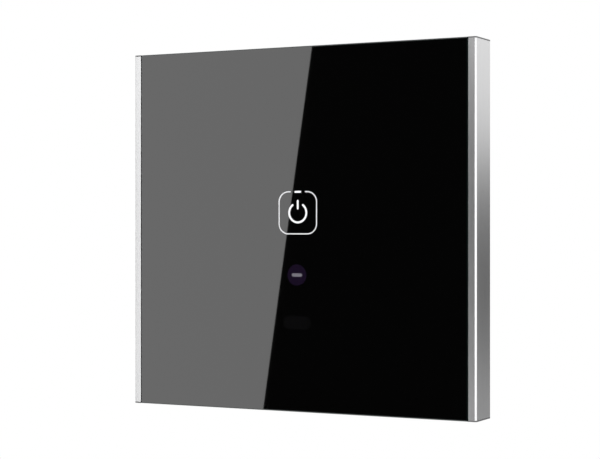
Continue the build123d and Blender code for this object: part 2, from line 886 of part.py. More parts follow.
# Link between the boards
pin_places = [(header_x, (n - (pin_count - 1) / 2) * pin_pitch) for n in range(pin_count)]

with BuildPart() as header_pins:
    slab(power_front, touch_rear, pin_side, pin_side, pin_places)
save(header_pins, "header_pins")

with BuildPart() as header_strip:
    slab(power_front, power_front + strip_height, strip_width, header_length, [(header_x, 0)])
    slab(power_front, power_front + strip_height, pin_side, pin_side, pin_places, mode=Mode.SUBTRACT)
save(header_strip, "header_strip")

# Power board, notched round the housing's columns
power_board_width = housing_inner_width - 2 * board_gap
power_board_height = housing_inner_height - 2 * board_gap
notch_width = 2 * (power_board_width / 2 - column_x + column_radius + board_gap)
notch_height = 2 * (power_board_height / 2 - column_z + column_radius + board_gap)

with BuildPart() as power_board:
    slab(power_rear, power_front, power_board_width, power_board_height)
    slab(power_rear, power_front, notch_width, notch_height,
         [(x, z) for x in (-power_board_width / 2, power_board_width / 2)
          for z in (-power_board_height / 2, power_board_height / 2)], mode=Mode.SUBTRACT)
save(power_board, "power_board")

# Rear housing: walls, columns for the screws, ledges for the board, vents and wire holes
side_vent_places = [
    (n - (side_vent_count - 1) / 2) * side_vent_pitch for n in range(side_vent_count)
]
ledge_x = housing_inner_width / 2 - board_ledge / 2
ledge_places = [(x, z) for x in (-ledge_x, ledge_x) for z in board_ledge_heights]
vent_places = [(0, vent_rise + (n - (vent_count - 1) / 2) * vent_pitch) for n in range(vent_count)]
block_window_top = block_bottom + block_height + board_gap
block_window_bottom = housing_wall - housing_height / 2

with BuildPart() as rear_housing:
    slab(-housing_depth, housing_groove, housing_width, housing_height, radius=housing_radius)
    fillet(rear_housing.faces().sort_by(Axis.Y)[-1].edges(), housing_edge)
    slab(back_inside, housing_groove, housing_inner_width, housing_inner_height, radius=housing_inner_radius,
         mode=Mode.SUBTRACT)
    disc(-housing_depth + housing_back, boss_end, column_radius, column_places)
    slab(back_inside, power_rear, board_ledge, board_ledge_thickness, ledge_places)
    disc(-housing_depth, boss_end, screw_radius + screw_gap, column_places, mode=Mode.SUBTRACT)
    disc(-housing_depth, screw_sink_depth - housing_depth, screw_sink_radius, column_places,
         mode=Mode.SUBTRACT)
    slot(-housing_depth, back_inside, vent_length, vent_width, vent_places, mode=Mode.SUBTRACT)
    slab(-housing_depth, label_depth - housing_depth, label_width, label_height,
         [(0, -label_drop)], radius=label_radius, mode=Mode.SUBTRACT)
    slab(-housing_depth, back_inside, block_width + 2 * fit_gap,
         block_window_top - block_window_bottom, [(0, (block_window_top + block_window_bottom) / 2)], mode=Mode.SUBTRACT)
    with BuildSketch(Plane.XY.offset(-housing_height / 2)) as wire_holes:
        with Locations(*[(x, -wire_depth) for x in pole_places]):
            Circle(wire_hole_radius)
    extrude(wire_holes.sketch, amount=housing_wall, mode=Mode.SUBTRACT)
    for x in pole_places:
        with Locations((x, -wire_depth, funnel_depth / 2 - housing_height / 2)):
            Cone(funnel_radius, wire_hole_radius, funnel_depth, mode=Mode.SUBTRACT)
    with BuildSketch(Plane.YZ.offset(-housing_width / 2)) as side_vents:
        with Locations(*[(housing_depth / 2 + y, 0) for y in side_vent_places]):
            SlotOverall(side_vent_length, side_vent_width, rotation=90)
    extrude(side_vents.sketch, amount=housing_width, mode=Mode.SUBTRACT)
save(rear_housing, "rear_housing")

head_seat = screw_sink_depth - housing_depth
screw_end = boss_end + screw_bite - screw_gap

with BuildPart() as housing_screws:
    disc(head_seat, screw_end, screw_radius, column_places)
    disc(head_seat - screw_head_height, head_seat, screw_head_radius, column_places)
    rims = housing_screws.edges().filter_by(GeomType.CIRCLE).group_by(Axis.Y)[-1]
    fillet(rims, screw_head_edge)
    cross_recess(head_seat - screw_head_height, column_places, screw_cross, screw_cross_width,
                 screw_cross_depth)
save(housing_screws, "housing_screws")

# Terminal block: a screw well, a clamp chamber, a wire hole and a plate slot for each pole
chamber_width = clamp_width + 2 * clamp_gap
chamber_height = clamp_height + 2 * chamber_gap
poles = [(x, terminal_z) for x in pole_places]
block_top = block_bottom + block_height
slot_height = block_top - terminal_z

with BuildPart() as terminal_block:
    slab(block_rear, power_rear, block_width, block_height, [(0, block_z)])
    chamfer(terminal_block.faces().sort_by(Axis.Y)[-1].edges(), block_recess)
    disc(block_rear, shelf_rear, well_radius, poles, mode=Mode.SUBTRACT)
    disc(shelf_rear, shelf_front, terminal_screw_radius + terminal_screw_gap, poles, mode=Mode.SUBTRACT)
    slab(shelf_front, chamber_front, chamber_width, chamber_height, poles, mode=Mode.SUBTRACT)
    slab(plate_rear_face - plate_gap, plate_front_face + plate_gap, plate_width + 2 * plate_gap,
         slot_height, [(x, terminal_z + slot_height / 2) for x in pole_places], mode=Mode.SUBTRACT)
    with BuildSketch(Plane.XY.offset(block_bottom)) as entries:
        with Locations(*[(x, -wire_depth) for x in pole_places]):
            Circle(wire_hole_radius)
    extrude(entries.sketch, amount=terminal_rise, mode=Mode.SUBTRACT)
save(terminal_block, "terminal_block")

plate_bottom = terminal_z - clamp_height / 2
plate_top = block_top + plate_gap + plate_thickness
leg_z = plate_top - plate_thickness / 2

with BuildPart() as terminal_plates:
    slab(plate_rear_face, plate_front_face, plate_width, plate_top - plate_bottom,
         [(x, (plate_top + plate_bottom) / 2) for x in pole_places])
    slab(plate_rear_face, power_rear, plate_width, plate_thickness, [(x, leg_z) for x in pole_places])
save(terminal_plates, "terminal_plates")

for number, x in enumerate(pole_places, start=1):
    place = [(x, terminal_z)]
    with BuildPart() as terminal_screw:
        disc(shelf_rear, clamp_window_rear, terminal_screw_radius, place)
        disc(head_rear, shelf_rear, terminal_head_radius, place)
        rims = terminal_screw.edges().filter_by(GeomType.CIRCLE).group_by(Axis.Y)[-1]
        fillet(rims, terminal_head_edge)
        cross_recess(head_rear, place, terminal_cross, terminal_cross_width, terminal_cross_depth)
        slab(head_rear, head_rear + terminal_slot_depth, 2 * terminal_head_radius,
             terminal_slot_width, place, mode=Mode.SUBTRACT)
    save(terminal_screw, f"terminal_screw_{number}")

    with BuildPart() as terminal_clamp:
        slab(clamp_rear, clamp_front, clamp_width, clamp_height, place)
        slab(clamp_window_rear, clamp_window_front, clamp_width - 2 * clamp_side, clamp_height,
             place, mode=Mode.SUBTRACT)
        disc(clamp_rear, clamp_window_rear, terminal_screw_radius + terminal_screw_gap, place,
             mode=Mode.SUBTRACT)
    save(terminal_clamp, f"terminal_clamp_{number}")

# Relay: base, cover, yoke, bobbin, winding, core, armature and contacts
relay_place = [(relay_x, relay_z)]
relay_rear = power_rear - relay_depth
cover_front = power_rear - relay_gap
base_rear = power_rear - relay_gap - relay_base_thickness
yoke_rear = base_rear - yoke_thickness
bobbin_rear = yoke_rear - bobbin_length
core_rear = bobbin_rear - pole_cap_thickness
armature_front = core_rear - armature_gap
armature_rear = armature_front - armature_thickness
leg_rear = armature_front + armature_lift
coil_x = relay_x - relay_width / 2 + relay_wall + relay_leg_gap + yoke_thickness / 2 + leg_from_coil
coil_place = [(coil_x, relay_z)]
leg_x = coil_x - leg_from_coil
contact_x = coil_x + contact_from_coil
blade_rear = armature_rear - blade_thickness
moving_contact_front = blade_rear + blade_thickness + contact_height
fixed_contact_rear = moving_contact_front + contact_gap

with BuildPart() as relay_base:
    slab(base_rear, cover_front, relay_width - 2 * (relay_wall + relay_gap),
         relay_height - 2 * (relay_wall + relay_gap), relay_place)
save(relay_base, "relay_base")

with BuildPart() as relay_cover:
    slab(relay_rear, cover_front, relay_width, relay_height, relay_place)
    fillet(relay_cover.faces().sort_by(Axis.Y)[-1].edges(), relay_wall / 2)
    slab(relay_rear + relay_wall, cover_front, relay_width - 2 * relay_wall,
         relay_height - 2 * relay_wall, relay_place, mode=Mode.SUBTRACT)
save(relay_cover, "relay_cover")

yoke_reach = leg_from_coil + bobbin_flange_radius + yoke_thickness / 2

with BuildPart() as relay_yoke:
    slab(yoke_rear, base_rear, yoke_reach, yoke_width,
         [(leg_x - yoke_thickness / 2 + yoke_reach / 2, relay_z)])
    slab(leg_rear, base_rear, yoke_thickness, yoke_width, [(leg_x, relay_z)])
save(relay_yoke, "relay_yoke")

with BuildPart() as relay_bobbin:
    disc(bobbin_rear, yoke_rear, bobbin_core_radius + bobbin_tube, coil_place)
    disc(bobbin_rear, bobbin_rear + bobbin_flange, bobbin_flange_radius, coil_place)
    disc(yoke_rear - bobbin_flange, yoke_rear, bobbin_flange_radius, coil_place)
    disc(bobbin_rear, yoke_rear, bobbin_core_radius + screw_gap, coil_place, mode=Mode.SUBTRACT)
save(relay_bobbin, "relay_bobbin")

with BuildPart() as relay_coil:
    disc(bobbin_rear + bobbin_flange, yoke_rear - bobbin_flange, coil_radius, coil_place)
    disc(bobbin_rear + bobbin_flange, yoke_rear - bobbin_flange, bobbin_core_radius + bobbin_tube,
         coil_place, mode=Mode.SUBTRACT)
save(relay_coil, "relay_coil")

with BuildPart() as relay_core:
    disc(bobbin_rear, yoke_rear, bobbin_core_radius, coil_place)
    disc(core_rear, bobbin_rear, pole_cap_radius, coil_place)
save(relay_core, "relay_core")

armature_start = leg_x - yoke_thickness / 2
armature_end = coil_x + pole_cap_radius
armature_middle = (armature_start + armature_end) / 2

with BuildPart() as relay_armature:
    slab(armature_rear, armature_front, armature_end - armature_start, yoke_width,
         [(armature_middle, relay_z)])
save(relay_armature, "relay_armature")

blade_end = contact_x + contact_radius

with BuildPart() as relay_contact_blade:
    slab(blade_rear, armature_rear, blade_end - armature_middle, blade_width,
         [((blade_end + armature_middle) / 2, relay_z)])
    disc(armature_rear, moving_contact_front, contact_radius, [(contact_x, relay_z)])
save(relay_contact_blade, "relay_contact_blade")

post_x = contact_x - contact_radius + contact_plate_thickness / 2

with BuildPart() as relay_fixed_contact:
    disc(fixed_contact_rear, fixed_contact_rear + contact_height, contact_radius, [(contact_x, relay_z)])
    slab(fixed_contact_rear + contact_height, fixed_contact_rear + contact_height + contact_plate_thickness,
         2 * contact_radius, blade_width, [(contact_x, relay_z)])
    slab(fixed_contact_rear + contact_height, base_rear, contact_plate_thickness, blade_width,
         [(post_x, relay_z)])
save(relay_fixed_contact, "relay_fixed_contact")

# Other parts on the power board
with BuildPart() as transformer_core:
    slab(power_rear - transformer_depth, power_rear, transformer_width, transformer_height,
         [(transformer_x, transformer_z)])
    slab(power_rear - transformer_depth + transformer_leg, power_rear - transformer_leg,
         transformer_width - 2 * transformer_leg, transformer_height, [(transformer_x, transformer_z)],
         mode=Mode.SUBTRACT)
    slab(power_rear - transformer_depth + transformer_leg, power_rear - transformer_leg,
         transformer_leg, transformer_height, [(transformer_x, transformer_z)])
save(transformer_core, "transformer_core")

coil_low = power_rear - transformer_depth + transformer_leg + transformer_coil_gap
coil_high = power_rear - transformer_leg - transformer_coil_gap
coil_outer = transformer_width - 2 * transformer_leg - 2 * transformer_coil_gap

with BuildPart() as transformer_coil:
    slab(coil_low, coil_high, coil_outer, transformer_height + 2 * transformer_coil_gap,
         [(transformer_x, transformer_z)], radius=transformer_leg / 2)
    slab(coil_low, coil_high, transformer_leg + transformer_coil_gap, transformer_height,
         [(transformer_x, transformer_z)], mode=Mode.SUBTRACT)
save(transformer_coil, "transformer_coil")

with BuildPart() as smoothing_capacitors:
    disc(power_rear - smoothing_length, power_rear, smoothing_radius,
         [(smoothing_x, z) for z in smoothing_z])
    fillet(smoothing_capacitors.edges().filter_by(GeomType.CIRCLE).group_by(Axis.Y)[-1],
           smoothing_edge)
save(smoothing_capacitors, "smoothing_capacitors")

with BuildPart() as filter_capacitor:
    slab(power_rear - filter_depth, power_rear, filter_width, filter_height, [(filter_x, filter_z)])
    fillet(filter_capacitor.faces().sort_by(Axis.Y)[-1].edges(), filter_edge)
save(filter_capacitor, "filter_capacitor")

with BuildPart() as varistor:
    with BuildSketch(Plane.XY.offset(varistor_z - varistor_thickness / 2)) as face_of_disc:
        with Locations((varistor_x, varistor_radius - power_rear)):
            Circle(varistor_radius)
    extrude(face_of_disc.sketch, amount=varistor_thickness)
    fillet(varistor.edges().filter_by(GeomType.CIRCLE), varistor_edge)
save(varistor, "varistor")

with BuildPart() as fuse:
    disc(power_rear - fuse_length, power_rear, fuse_radius, [(fuse_x, fuse_z)])
    fillet(fuse.edges().filter_by(GeomType.CIRCLE).group_by(Axis.Y)[-1], fuse_edge)
save(fuse, "fuse")

with BuildPart() as choke:
    disc(power_rear - choke_length, power_rear, choke_waist, [(choke_x, choke_z)])
    disc(power_rear - choke_flange, power_rear, choke_radius, [(choke_x, choke_z)])
    disc(power_rear - choke_length, power_rear - choke_length + choke_flange, choke_radius,
         [(choke_x, choke_z)])
save(choke, "choke")

with BuildPart() as bridge_rectifier:
    slab(power_rear - rectifier_depth, power_rear, rectifier_width, rectifier_height,
         [(rectifier_x, rectifier_z)])
    chamfer(bridge_rectifier.faces().sort_by(Axis.Y)[-1].edges(), rectifier_edge)
save(bridge_rectifier, "bridge_rectifier")
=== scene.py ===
"""The looks, the light and the view of a wall-mounted touch light switch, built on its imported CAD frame."""

import logging
import math
from collections.abc import Callable, Iterable
from dataclasses import dataclass
from enum import Enum
from typing import ClassVar

import bmesh
import bpy
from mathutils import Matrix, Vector


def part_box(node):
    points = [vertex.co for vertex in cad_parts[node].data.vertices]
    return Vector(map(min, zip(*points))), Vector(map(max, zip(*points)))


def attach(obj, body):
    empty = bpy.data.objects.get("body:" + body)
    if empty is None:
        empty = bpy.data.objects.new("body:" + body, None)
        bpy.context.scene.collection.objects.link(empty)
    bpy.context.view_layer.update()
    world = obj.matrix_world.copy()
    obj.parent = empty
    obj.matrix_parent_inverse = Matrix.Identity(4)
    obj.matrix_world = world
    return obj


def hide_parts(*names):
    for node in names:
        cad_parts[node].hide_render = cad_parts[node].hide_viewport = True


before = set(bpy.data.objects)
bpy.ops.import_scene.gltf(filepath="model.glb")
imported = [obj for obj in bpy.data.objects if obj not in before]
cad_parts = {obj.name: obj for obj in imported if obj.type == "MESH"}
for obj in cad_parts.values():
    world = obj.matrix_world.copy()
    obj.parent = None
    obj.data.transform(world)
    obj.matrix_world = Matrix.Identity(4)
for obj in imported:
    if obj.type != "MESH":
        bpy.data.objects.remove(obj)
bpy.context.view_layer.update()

LOG = logging.getLogger("light_switch")
MM = 0.001

Colour = tuple[float, float, float]
Point = tuple[float, float, float]
Span = tuple[float, float]
Glow = tuple[Span, ...]

WHITE: Colour = (1.0, 1.0, 1.0)
BLACK: Colour = (0.0, 0.0, 0.0)

# A face looks along an axis where its normal's part along it is over this.
ALONG = 0.5


def middle(node: str) -> Vector:
    """Return the middle of a CAD node's box, in metres."""
    low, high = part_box(node)
    return (low + high) / 2


def put(name: str, data: bpy.types.ID) -> bpy.types.Object:
    """Put a new object in the scene.

    Args:
        name: its name.
        data: its mesh, light or camera.

    Returns:
        The object.
    """
    made = bpy.data.objects.new(name, data)
    bpy.context.scene.collection.objects.link(made)
    return made


# Shader nodes


class Wire:
    """A shader socket that Python's operators work on, each of which adds its Math node."""

    def __init__(self, nodes: "Nodes", socket: bpy.types.NodeSocket) -> None:
        """Keep a socket and the tree it is in."""
        self.nodes = nodes
        self.socket = socket

    def math(self, operation: str, *values: "Value") -> "Wire":
        """Add a Math node on some values, and return its result."""
        return self.nodes.add("ShaderNodeMath", {"operation": operation}, dict(enumerate(values)))

    def __add__(self, other: "Value") -> "Wire":
        """Return self + other."""
        return self.math("ADD", self, other)

    __radd__ = __add__

    def __sub__(self, other: "Value") -> "Wire":
        """Return self - other."""
        return self.math("SUBTRACT", self, other)

    def __rsub__(self, other: "Value") -> "Wire":
        """Return other - self."""
        return self.math("SUBTRACT", other, self)

    def __mul__(self, other: "Value") -> "Wire":
        """Return self * other."""
        return self.math("MULTIPLY", self, other)

    __rmul__ = __mul__

    def __truediv__(self, other: "Value") -> "Wire":
        """Return self / other."""
        return self.math("DIVIDE", self, other)

    def __rtruediv__(self, other: "Value") -> "Wire":
        """Return other / self."""
        return self.math("DIVIDE", other, self)

    def __pow__(self, other: "Value") -> "Wire":
        """Return self ** other."""
        return self.math("POWER", self, other)

    def __rpow__(self, other: "Value") -> "Wire":
        """Return other ** self."""
        return self.math("POWER", other, self)

    def __mod__(self, other: "Value") -> "Wire":
        """Return self modulo other, which has the sign of other."""
        return self.math("FLOORED_MODULO", self, other)

    def __rmod__(self, other: "Value") -> "Wire":
        """Return other modulo self."""
        return self.math("FLOORED_MODULO", other, self)

    def __gt__(self, other: "Value") -> "Wire":
        """Return 1 where self is over other, else 0."""
        return self.math("GREATER_THAN", self, other)

    def __lt__(self, other: "Value") -> "Wire":
        """Return 1 where self is under other, else 0."""
        return self.math("LESS_THAN", self, other)

    def __abs__(self) -> "Wire":
        """Return the size of self."""
        return self.math("ABSOLUTE", self)

    def sine(self) -> "Wire":
        """Return the sine of self."""
        return self.math("SINE", self)

    def larger(self, other: "Value") -> "Wire":
        """Return the larger of self and other."""
        return self.math("MAXIMUM", self, other)

    def length(self, other: "Wire") -> "Wire":
        """Return the length of the vector that has self and other as its parts."""
        return (self * self + other * other) ** 0.5

    def share(self, part: float, other: "Wire") -> "Wire":
        """Return a part of self added to the rest of other."""
        return self * part + other * (1 - part)

    def repeat(self, pitch: float) -> "Wire":
        """Return the place in a pattern that repeats, from -0.5 to 0.5 over each pitch."""
        return (self / pitch) % 1.0 - 0.5

    def ease(self, low: float, high: float) -> "Wire":
        """Rise smoothly from 0 to 1.

        Args:
            low: the value that gives 0.
            high: the value that gives 1.

        Returns:
            The eased value, which stays between 0 and 1.
        """
        return self.nodes.add(
            "ShaderNodeMapRange", {"interpolation_type": "SMOOTHSTEP"},
            {"Value": self, "From Min": low, "From Max": high},
        )

    def out(self, name: str) -> "Wire":
        """Return another output of the same node."""
        return Wire(self.nodes, self.socket.node.outputs[name])


Value = Wire | float | int | tuple
Sockets = dict[int | str, Value]


class Nodes:
    """The node tree of a material or of the world.

    A Mix node has its sockets once for each kind of data, so those of its colours go by number.
    """

    MIX_UNDER = 6
    MIX_OVER = 7
    MIXED = 2

    def __init__(self, owner: bpy.types.Material | bpy.types.World) -> None:
        """Empty the owner's tree.

        Args:
            owner: the material or the world.
        """
        owner.use_nodes = True
        self.tree = owner.node_tree
        self.tree.nodes.clear()

    def add(self, kind: str, settings: dict[str, str], values: Sockets, output: int | str = 0) -> Wire:
        """Add one node.

        Args:
            kind: the node's type.
            settings: its settings, which are set first.
            values: what each socket, by name or number, takes: a wire, a number or a colour.
            output: the output to return.

        Returns:
            The wire of that output, or the wire of the node's first input if it has no output.
        """
        node = self.tree.nodes.new(kind)
        for name, setting in settings.items():
            setattr(node, name, setting)
        for key, value in values.items():
            socket = node.inputs[key]
            if isinstance(value, Wire):
                self.tree.links.new(value.socket, socket)
            elif isinstance(value, tuple) and socket.type == "RGBA":
                socket.default_value = (*value, 1.0)
            else:
                socket.default_value = value
        return Wire(self, node.outputs[output] if node.outputs else node.inputs[0])

    def place(self) -> Wire:
        """Return the point on the piece, in metres."""
        return self.add("ShaderNodeTexCoord", {}, {}, "Object")

    def split(self, vector: Wire) -> tuple[Wire, Wire, Wire]:
        """Return the three parts of a vector."""
        x = self.add("ShaderNodeSeparateXYZ", {}, {0: vector}, "X")
        return x, x.out("Y"), x.out("Z")

    def axes(self) -> tuple[Wire, Wire, Wire]:
        """Return the three coordinates of the point on the piece, in metres."""
        return self.split(self.place())

    def facing(self) -> tuple[Wire, Wire, Wire]:
        """Return the three parts of the surface's normal."""
        return self.split(self.add("ShaderNodeNewGeometry", {}, {}, "Normal"))

    def noise(self, grain: float | Point, detail: float = 2.0, rough: float = 0.5) -> Wire:
        """Add a noise.

        Args:
            grain: the size of its blotches, or their sizes along X, Y and Z, in metres.
            detail: the number of finer layers.
            rough: how strong the finer layers are.

        Returns:
            The noise, from 0 to 1.
        """
        sizes = grain if isinstance(grain, tuple) else (grain,) * 3
        stretched = self.add(
            "ShaderNodeVectorMath", {"operation": "MULTIPLY"},
            {0: self.place(), 1: tuple(1 / size for size in sizes)},
        )
        return self.add(
            "ShaderNodeTexNoise", {},
            {"Vector": stretched, "Scale": 1.0, "Detail": detail, "Roughness": rough},
        )

    def blend(self, share: Value, under: Value, over: Value) -> Wire:
        """Return one colour under a share, from 0 to 1, of another."""
        colours = {self.MIX_UNDER: under, self.MIX_OVER: over}
        return self.add("ShaderNodeMix", {"data_type": "RGBA"}, {"Factor": share} | colours, self.MIXED)

    def bump(self, height: Wire, depth: float) -> Wire:
        """Return the normal of a relief whose height runs from 0 to 1 over a depth in metres."""
        return self.add("ShaderNodeBump", {}, {"Height": height, "Distance": depth, "Strength": 1.0})


# Finishes


@dataclass(frozen=True)
class Finish:
    """A finish: its name, its colour and sheen with how far they vary, and the shader's constants.

    The mottle is the share by which the colour darkens and lightens, the spread is by how much the
    roughness varies in all, and the depth is that of the relief in metres. A grain or the like is
    the size of a noise's blotches.
    """

    name: str
    colour: Colour
    roughness: float = 0.5
    metal: float = 0.0
    ior: float = 1.5
    coat: float = 0.0
    mottle: float = 0.05
    spread: float = 0.1
    depth: float = 0.004 * MM

    def material(self) -> bpy.types.Material:
        """Make the material the first time, and find it again after that.

        Returns:
            The material.
        """
        name = f"{self.name}_finish"
        if name in bpy.data.materials:
            return bpy.data.materials[name]
        made = bpy.data.materials.new(name)
        nodes = Nodes(made)
        constants: Sockets = {"Metallic": self.metal, "IOR": self.ior, "Coat Weight": self.coat}
        surface = nodes.add("ShaderNodeBsdfPrincipled", {}, constants | self.dress(nodes))
        nodes.add("ShaderNodeOutputMaterial", {}, {"Surface": surface})
        return made

    def dress(self, nodes: Nodes) -> Sockets:
        """Return the shader's sockets that this finish drives, by name."""
        raise NotImplementedError

    def shade(self, nodes: Nodes, mask: Value) -> Wire:
        """Darken and lighten the colour by the mottle.

        Args:
            nodes: the material's nodes.
            mask: from 0, darkest, to 1, lightest.

        Returns:
            The colour.
        """
        dark = tuple(part * (1 - self.mottle) for part in self.colour)
        light = tuple(min(1.0, part * (1 + self.mottle)) for part in self.colour)
        return nodes.blend(mask, dark, light)

    def sheen(self, mask: Wire) -> Wire:
        """Return the roughness, spread about its middle by a mask from 0 to 1."""
        return self.roughness + (mask - 0.5) * self.spread


@dataclass(frozen=True)
class Moulded(Finish):
    """Moulded plastic with the fine grain of a spark-eroded tool."""

    mottle: float = 0.07
    spread: float = 0.2
    grain: float = 0.16 * MM
    flow: Point = (7 * MM, 11 * MM, 9 * MM)
    flow_share: float = 0.6

    def dress(self, nodes: Nodes) -> Sockets:
        """Give the plastic a faintly uneven colour, an uneven sheen and the grain.

        Args:
            nodes: the material's nodes.

        Returns:
            The shader's sockets by name.
        """
        spark = nodes.noise(self.grain, detail=3.0, rough=0.6)
        uneven = nodes.noise(self.flow, detail=3.0).share(self.flow_share, spark)
        return {
            "Base Color": self.shade(nodes, uneven),
            "Roughness": self.sheen(uneven),
            "Normal": nodes.bump(spark, self.depth),
        }


@dataclass(frozen=True)
class Brushed(Finish):
    """Metal with long fine lines, and broader ones among them."""

    metal: float = 1.0
    mottle: float = 0.06
    spread: float = 0.16
    depth: float = 0.0012 * MM
    lines: Point = (0.035 * MM, 0.035 * MM, 9 * MM)
    broadening: float = 6.0
    fine_share: float = 0.7
    contrast: Span = (0.3, 0.7)

    def dress(self, nodes: Nodes) -> Sockets:
        """Give the metal its streaks in colour, sheen and relief.

        Args:
            nodes: the material's nodes.

        Returns:
            The shader's sockets by name.
        """
        fine = nodes.noise(self.lines, detail=3.0, rough=0.65)
        broad = nodes.noise(tuple(self.broadening * size for size in self.lines))
        line = fine.share(self.fine_share, broad)
        return {
            "Base Color": self.shade(nodes, line.ease(*self.contrast)),
            "Roughness": self.sheen(line),
            "Normal": nodes.bump(line, self.depth),
        }


@dataclass(frozen=True)
class Plated(Finish):
    """Metal with a thin plating: fine pits and a cloudy sheen."""

    metal: float = 1.0
    spread: float = 0.3
    depth: float = 0.003 * MM
    cloud: Colour = (0.62, 0.6, 0.5)
    cloud_grain: float = 1.4 * MM
    cloud_cover: float = 0.6
    contrast: Span = (0.45, 0.75)
    pit_grain: float = 0.09 * MM
    pit_share: float = 1 / 3

    def dress(self, nodes: Nodes) -> Sockets:
        """Give the plating its cloudy tone and sheen, and its pits.

        Args:
            nodes: the material's nodes.

        Returns:
            The shader's sockets by name.
        """
        clouds = nodes.noise(self.cloud_grain, detail=4.0, rough=0.6)
        pits = nodes.noise(self.pit_grain)
        cover = clouds.ease(*self.contrast) * self.cloud_cover
        return {
            "Base Color": nodes.blend(cover, self.colour, self.cloud),
            "Roughness": self.sheen(pits.share(self.pit_share, clouds)),
            "Normal": nodes.bump(pits, self.depth),
        }


@dataclass(frozen=True)
class PolishedGlass(Finish):
    """Glass with black behind it: deep black, a little green at its edges, with a painted highlight on its
    left arris and painted shade on its right one.
    """

    roughness: float = 0.014
    ior: float = 1.6
    spread: float = 0.004
    edge: Colour = (0.006, 0.012, 0.011)
    # Painted highlight: the pale grey of the left arris. The right arris is blacked as painted shade. Both
    # arrises have the width below.
    painted_arris_light: Colour = (0.07, 0.07, 0.07)
    edge_width: float = 0.5 * MM
    painted_arris_width: float = 0.3 * MM
    haze: float = 12 * MM

    def dress(self, nodes: Nodes) -> Sockets:
        """Give the glass its edges, an all but even sheen, a painted highlight on the left arris and painted
        shade on the right one.

        Args:
            nodes: the material's nodes.

        Returns:
            The shader's sockets by name.
        """
        _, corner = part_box("glass_panel")
        x, _, z = nodes.axes()
        side = (abs(x) - corner.x).larger(abs(z) - corner.z)
        black = nodes.blend(side.ease(-self.edge_width, 0.0), self.colour, self.edge)
        return {
            # Painted highlight: the left arris is painted pale grey.
            "Base Color": nodes.blend(x < self.painted_arris_width - corner.x, black, self.painted_arris_light),
            "Roughness": self.sheen(nodes.noise(self.haze, detail=3.0)),
            # Painted shade: the right arris turns to near-black metal, so it reflects almost nothing.
            "Metallic": x > corner.x - self.painted_arris_width,
        }


@dataclass(frozen=True)
class Ink(Finish):
    """Screen-printed ink under the glass's polish."""

    roughness: float = 0.12
    ior: float = 1.6
    mottle: float = 0.03
    spread: float = 0.06
    thread: float = 0.09 * MM
    thread_share: float = 0.3
    cover_grain: float = 0.5 * MM

    def dress(self, nodes: Nodes) -> Sockets:
        """Give the ink the screen's faint weave, and its sheen.

        Args:
            nodes: the material's nodes.

        Returns:
            The shader's sockets by name.
        """
        x, _, z = nodes.axes()
        turns = math.tau / self.thread
        weave = (x * turns).sine() * (z * turns).sine() * 0.5 + 0.5
        cover = nodes.noise(self.cover_grain, detail=3.0)
        return {
            "Base Color": self.shade(nodes, weave.share(self.thread_share, cover)),
            "Roughness": self.sheen(cover),
        }


@dataclass(frozen=True)
class Window(Finish):
    """A dark window in the print, with painted shade that darkens its colour from its middle to its edge.

    Its node is the CAD node that the window is.
    """

    roughness: float = 0.018
    ior: float = 1.6
    spread: float = 0.006
    # Painted shade: the darker colour at the window's edge.
    painted_rim_shade: Colour = BLACK
    node: str = ""
    fade: Span = (0.35, 1.0)
    haze: float = 2 * MM

    def dress(self, nodes: Nodes) -> Sockets:
        """Give the window painted shade that darkens it from the middle to the edge, and the polish.

        Args:
            nodes: the material's nodes.

        Returns:
            The shader's sockets by name.
        """
        at = middle(self.node)
        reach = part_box(self.node)[1] - at
        x, _, z = nodes.axes()
        out = ((x - at.x) / reach.x).length((z - at.z) / reach.z)
        return {
            # Painted shade: the colour darkens towards the window's edge.
            "Base Color": nodes.blend(out.ease(*self.fade), self.colour, self.painted_rim_shade),
            "Roughness": self.sheen(nodes.noise(self.haze)),
        }


@dataclass(frozen=True)
class CircuitBoard(Finish):
    """A board: solder mask over copper tracks and vias, with its bare laminate at the edges.

    The tracks run along X where their noise is under the first of its cuts, and along Z where it is
    over the second. Poured copper and vias are where their noises are over their cuts. A track's
    half width and a via's radius are shares of its pitch.
    """

    roughness: float = 0.3
    spread: float = 0.12
    depth: float = 0.02 * MM
    track: Colour = (0.03, 0.2, 0.08)
    laminate: Colour = (0.42, 0.4, 0.2)
    tin: Colour = (0.75, 0.74, 0.7)
    pitch: float = 1.27 * MM
    track_half: float = 0.15
    region_grain: float = 6 * MM
    region_cuts: Span = (0.48, 0.52)
    pour_grain: float = 9 * MM
    pour_cut: float = 0.6
    via_pitch: float = 2.54 * MM
    via_radius: float = 0.13
    via_grain: float = 3.1 * MM
    via_cut: float = 0.58
    via_metal: float = 0.9
    weave_grain: float = 0.3 * MM
    weave_height: float = 0.15
    edge_matt: float = 0.35

    def dress(self, nodes: Nodes) -> Sockets:
        """Give the board its tracks, its vias and the edges of its laminate.

        Args:
            nodes: the material's nodes.

        Returns:
            The shader's sockets by name.
        """
        x, _, z = nodes.axes()
        _, face, _ = nodes.facing()
        along_z = abs(x.repeat(self.pitch)) < self.track_half
        along_x = abs(z.repeat(self.pitch)) < self.track_half
        region = nodes.noise(self.region_grain, detail=0.0)
        tracks = (region > self.region_cuts[1]) * along_z + (region < self.region_cuts[0]) * along_x
        copper = tracks.larger(nodes.noise(self.pour_grain, detail=1.0) > self.pour_cut)
        out = x.repeat(self.via_pitch).length(z.repeat(self.via_pitch))
        via = (out < self.via_radius) * (nodes.noise(self.via_grain, detail=0.0) > self.via_cut)
        mask = nodes.blend(copper, self.colour, self.track)
        edge = abs(face) < ALONG
        weave = nodes.noise(self.weave_grain)
        return {
            "Base Color": nodes.blend(edge, nodes.blend(via, mask, self.tin), self.laminate),
            "Roughness": self.sheen(weave) + edge * self.edge_matt,
            "Metallic": via * (1 - edge) * self.via_metal,
            "Normal": nodes.bump(copper.larger(via) + weave * self.weave_height, self.depth),
        }


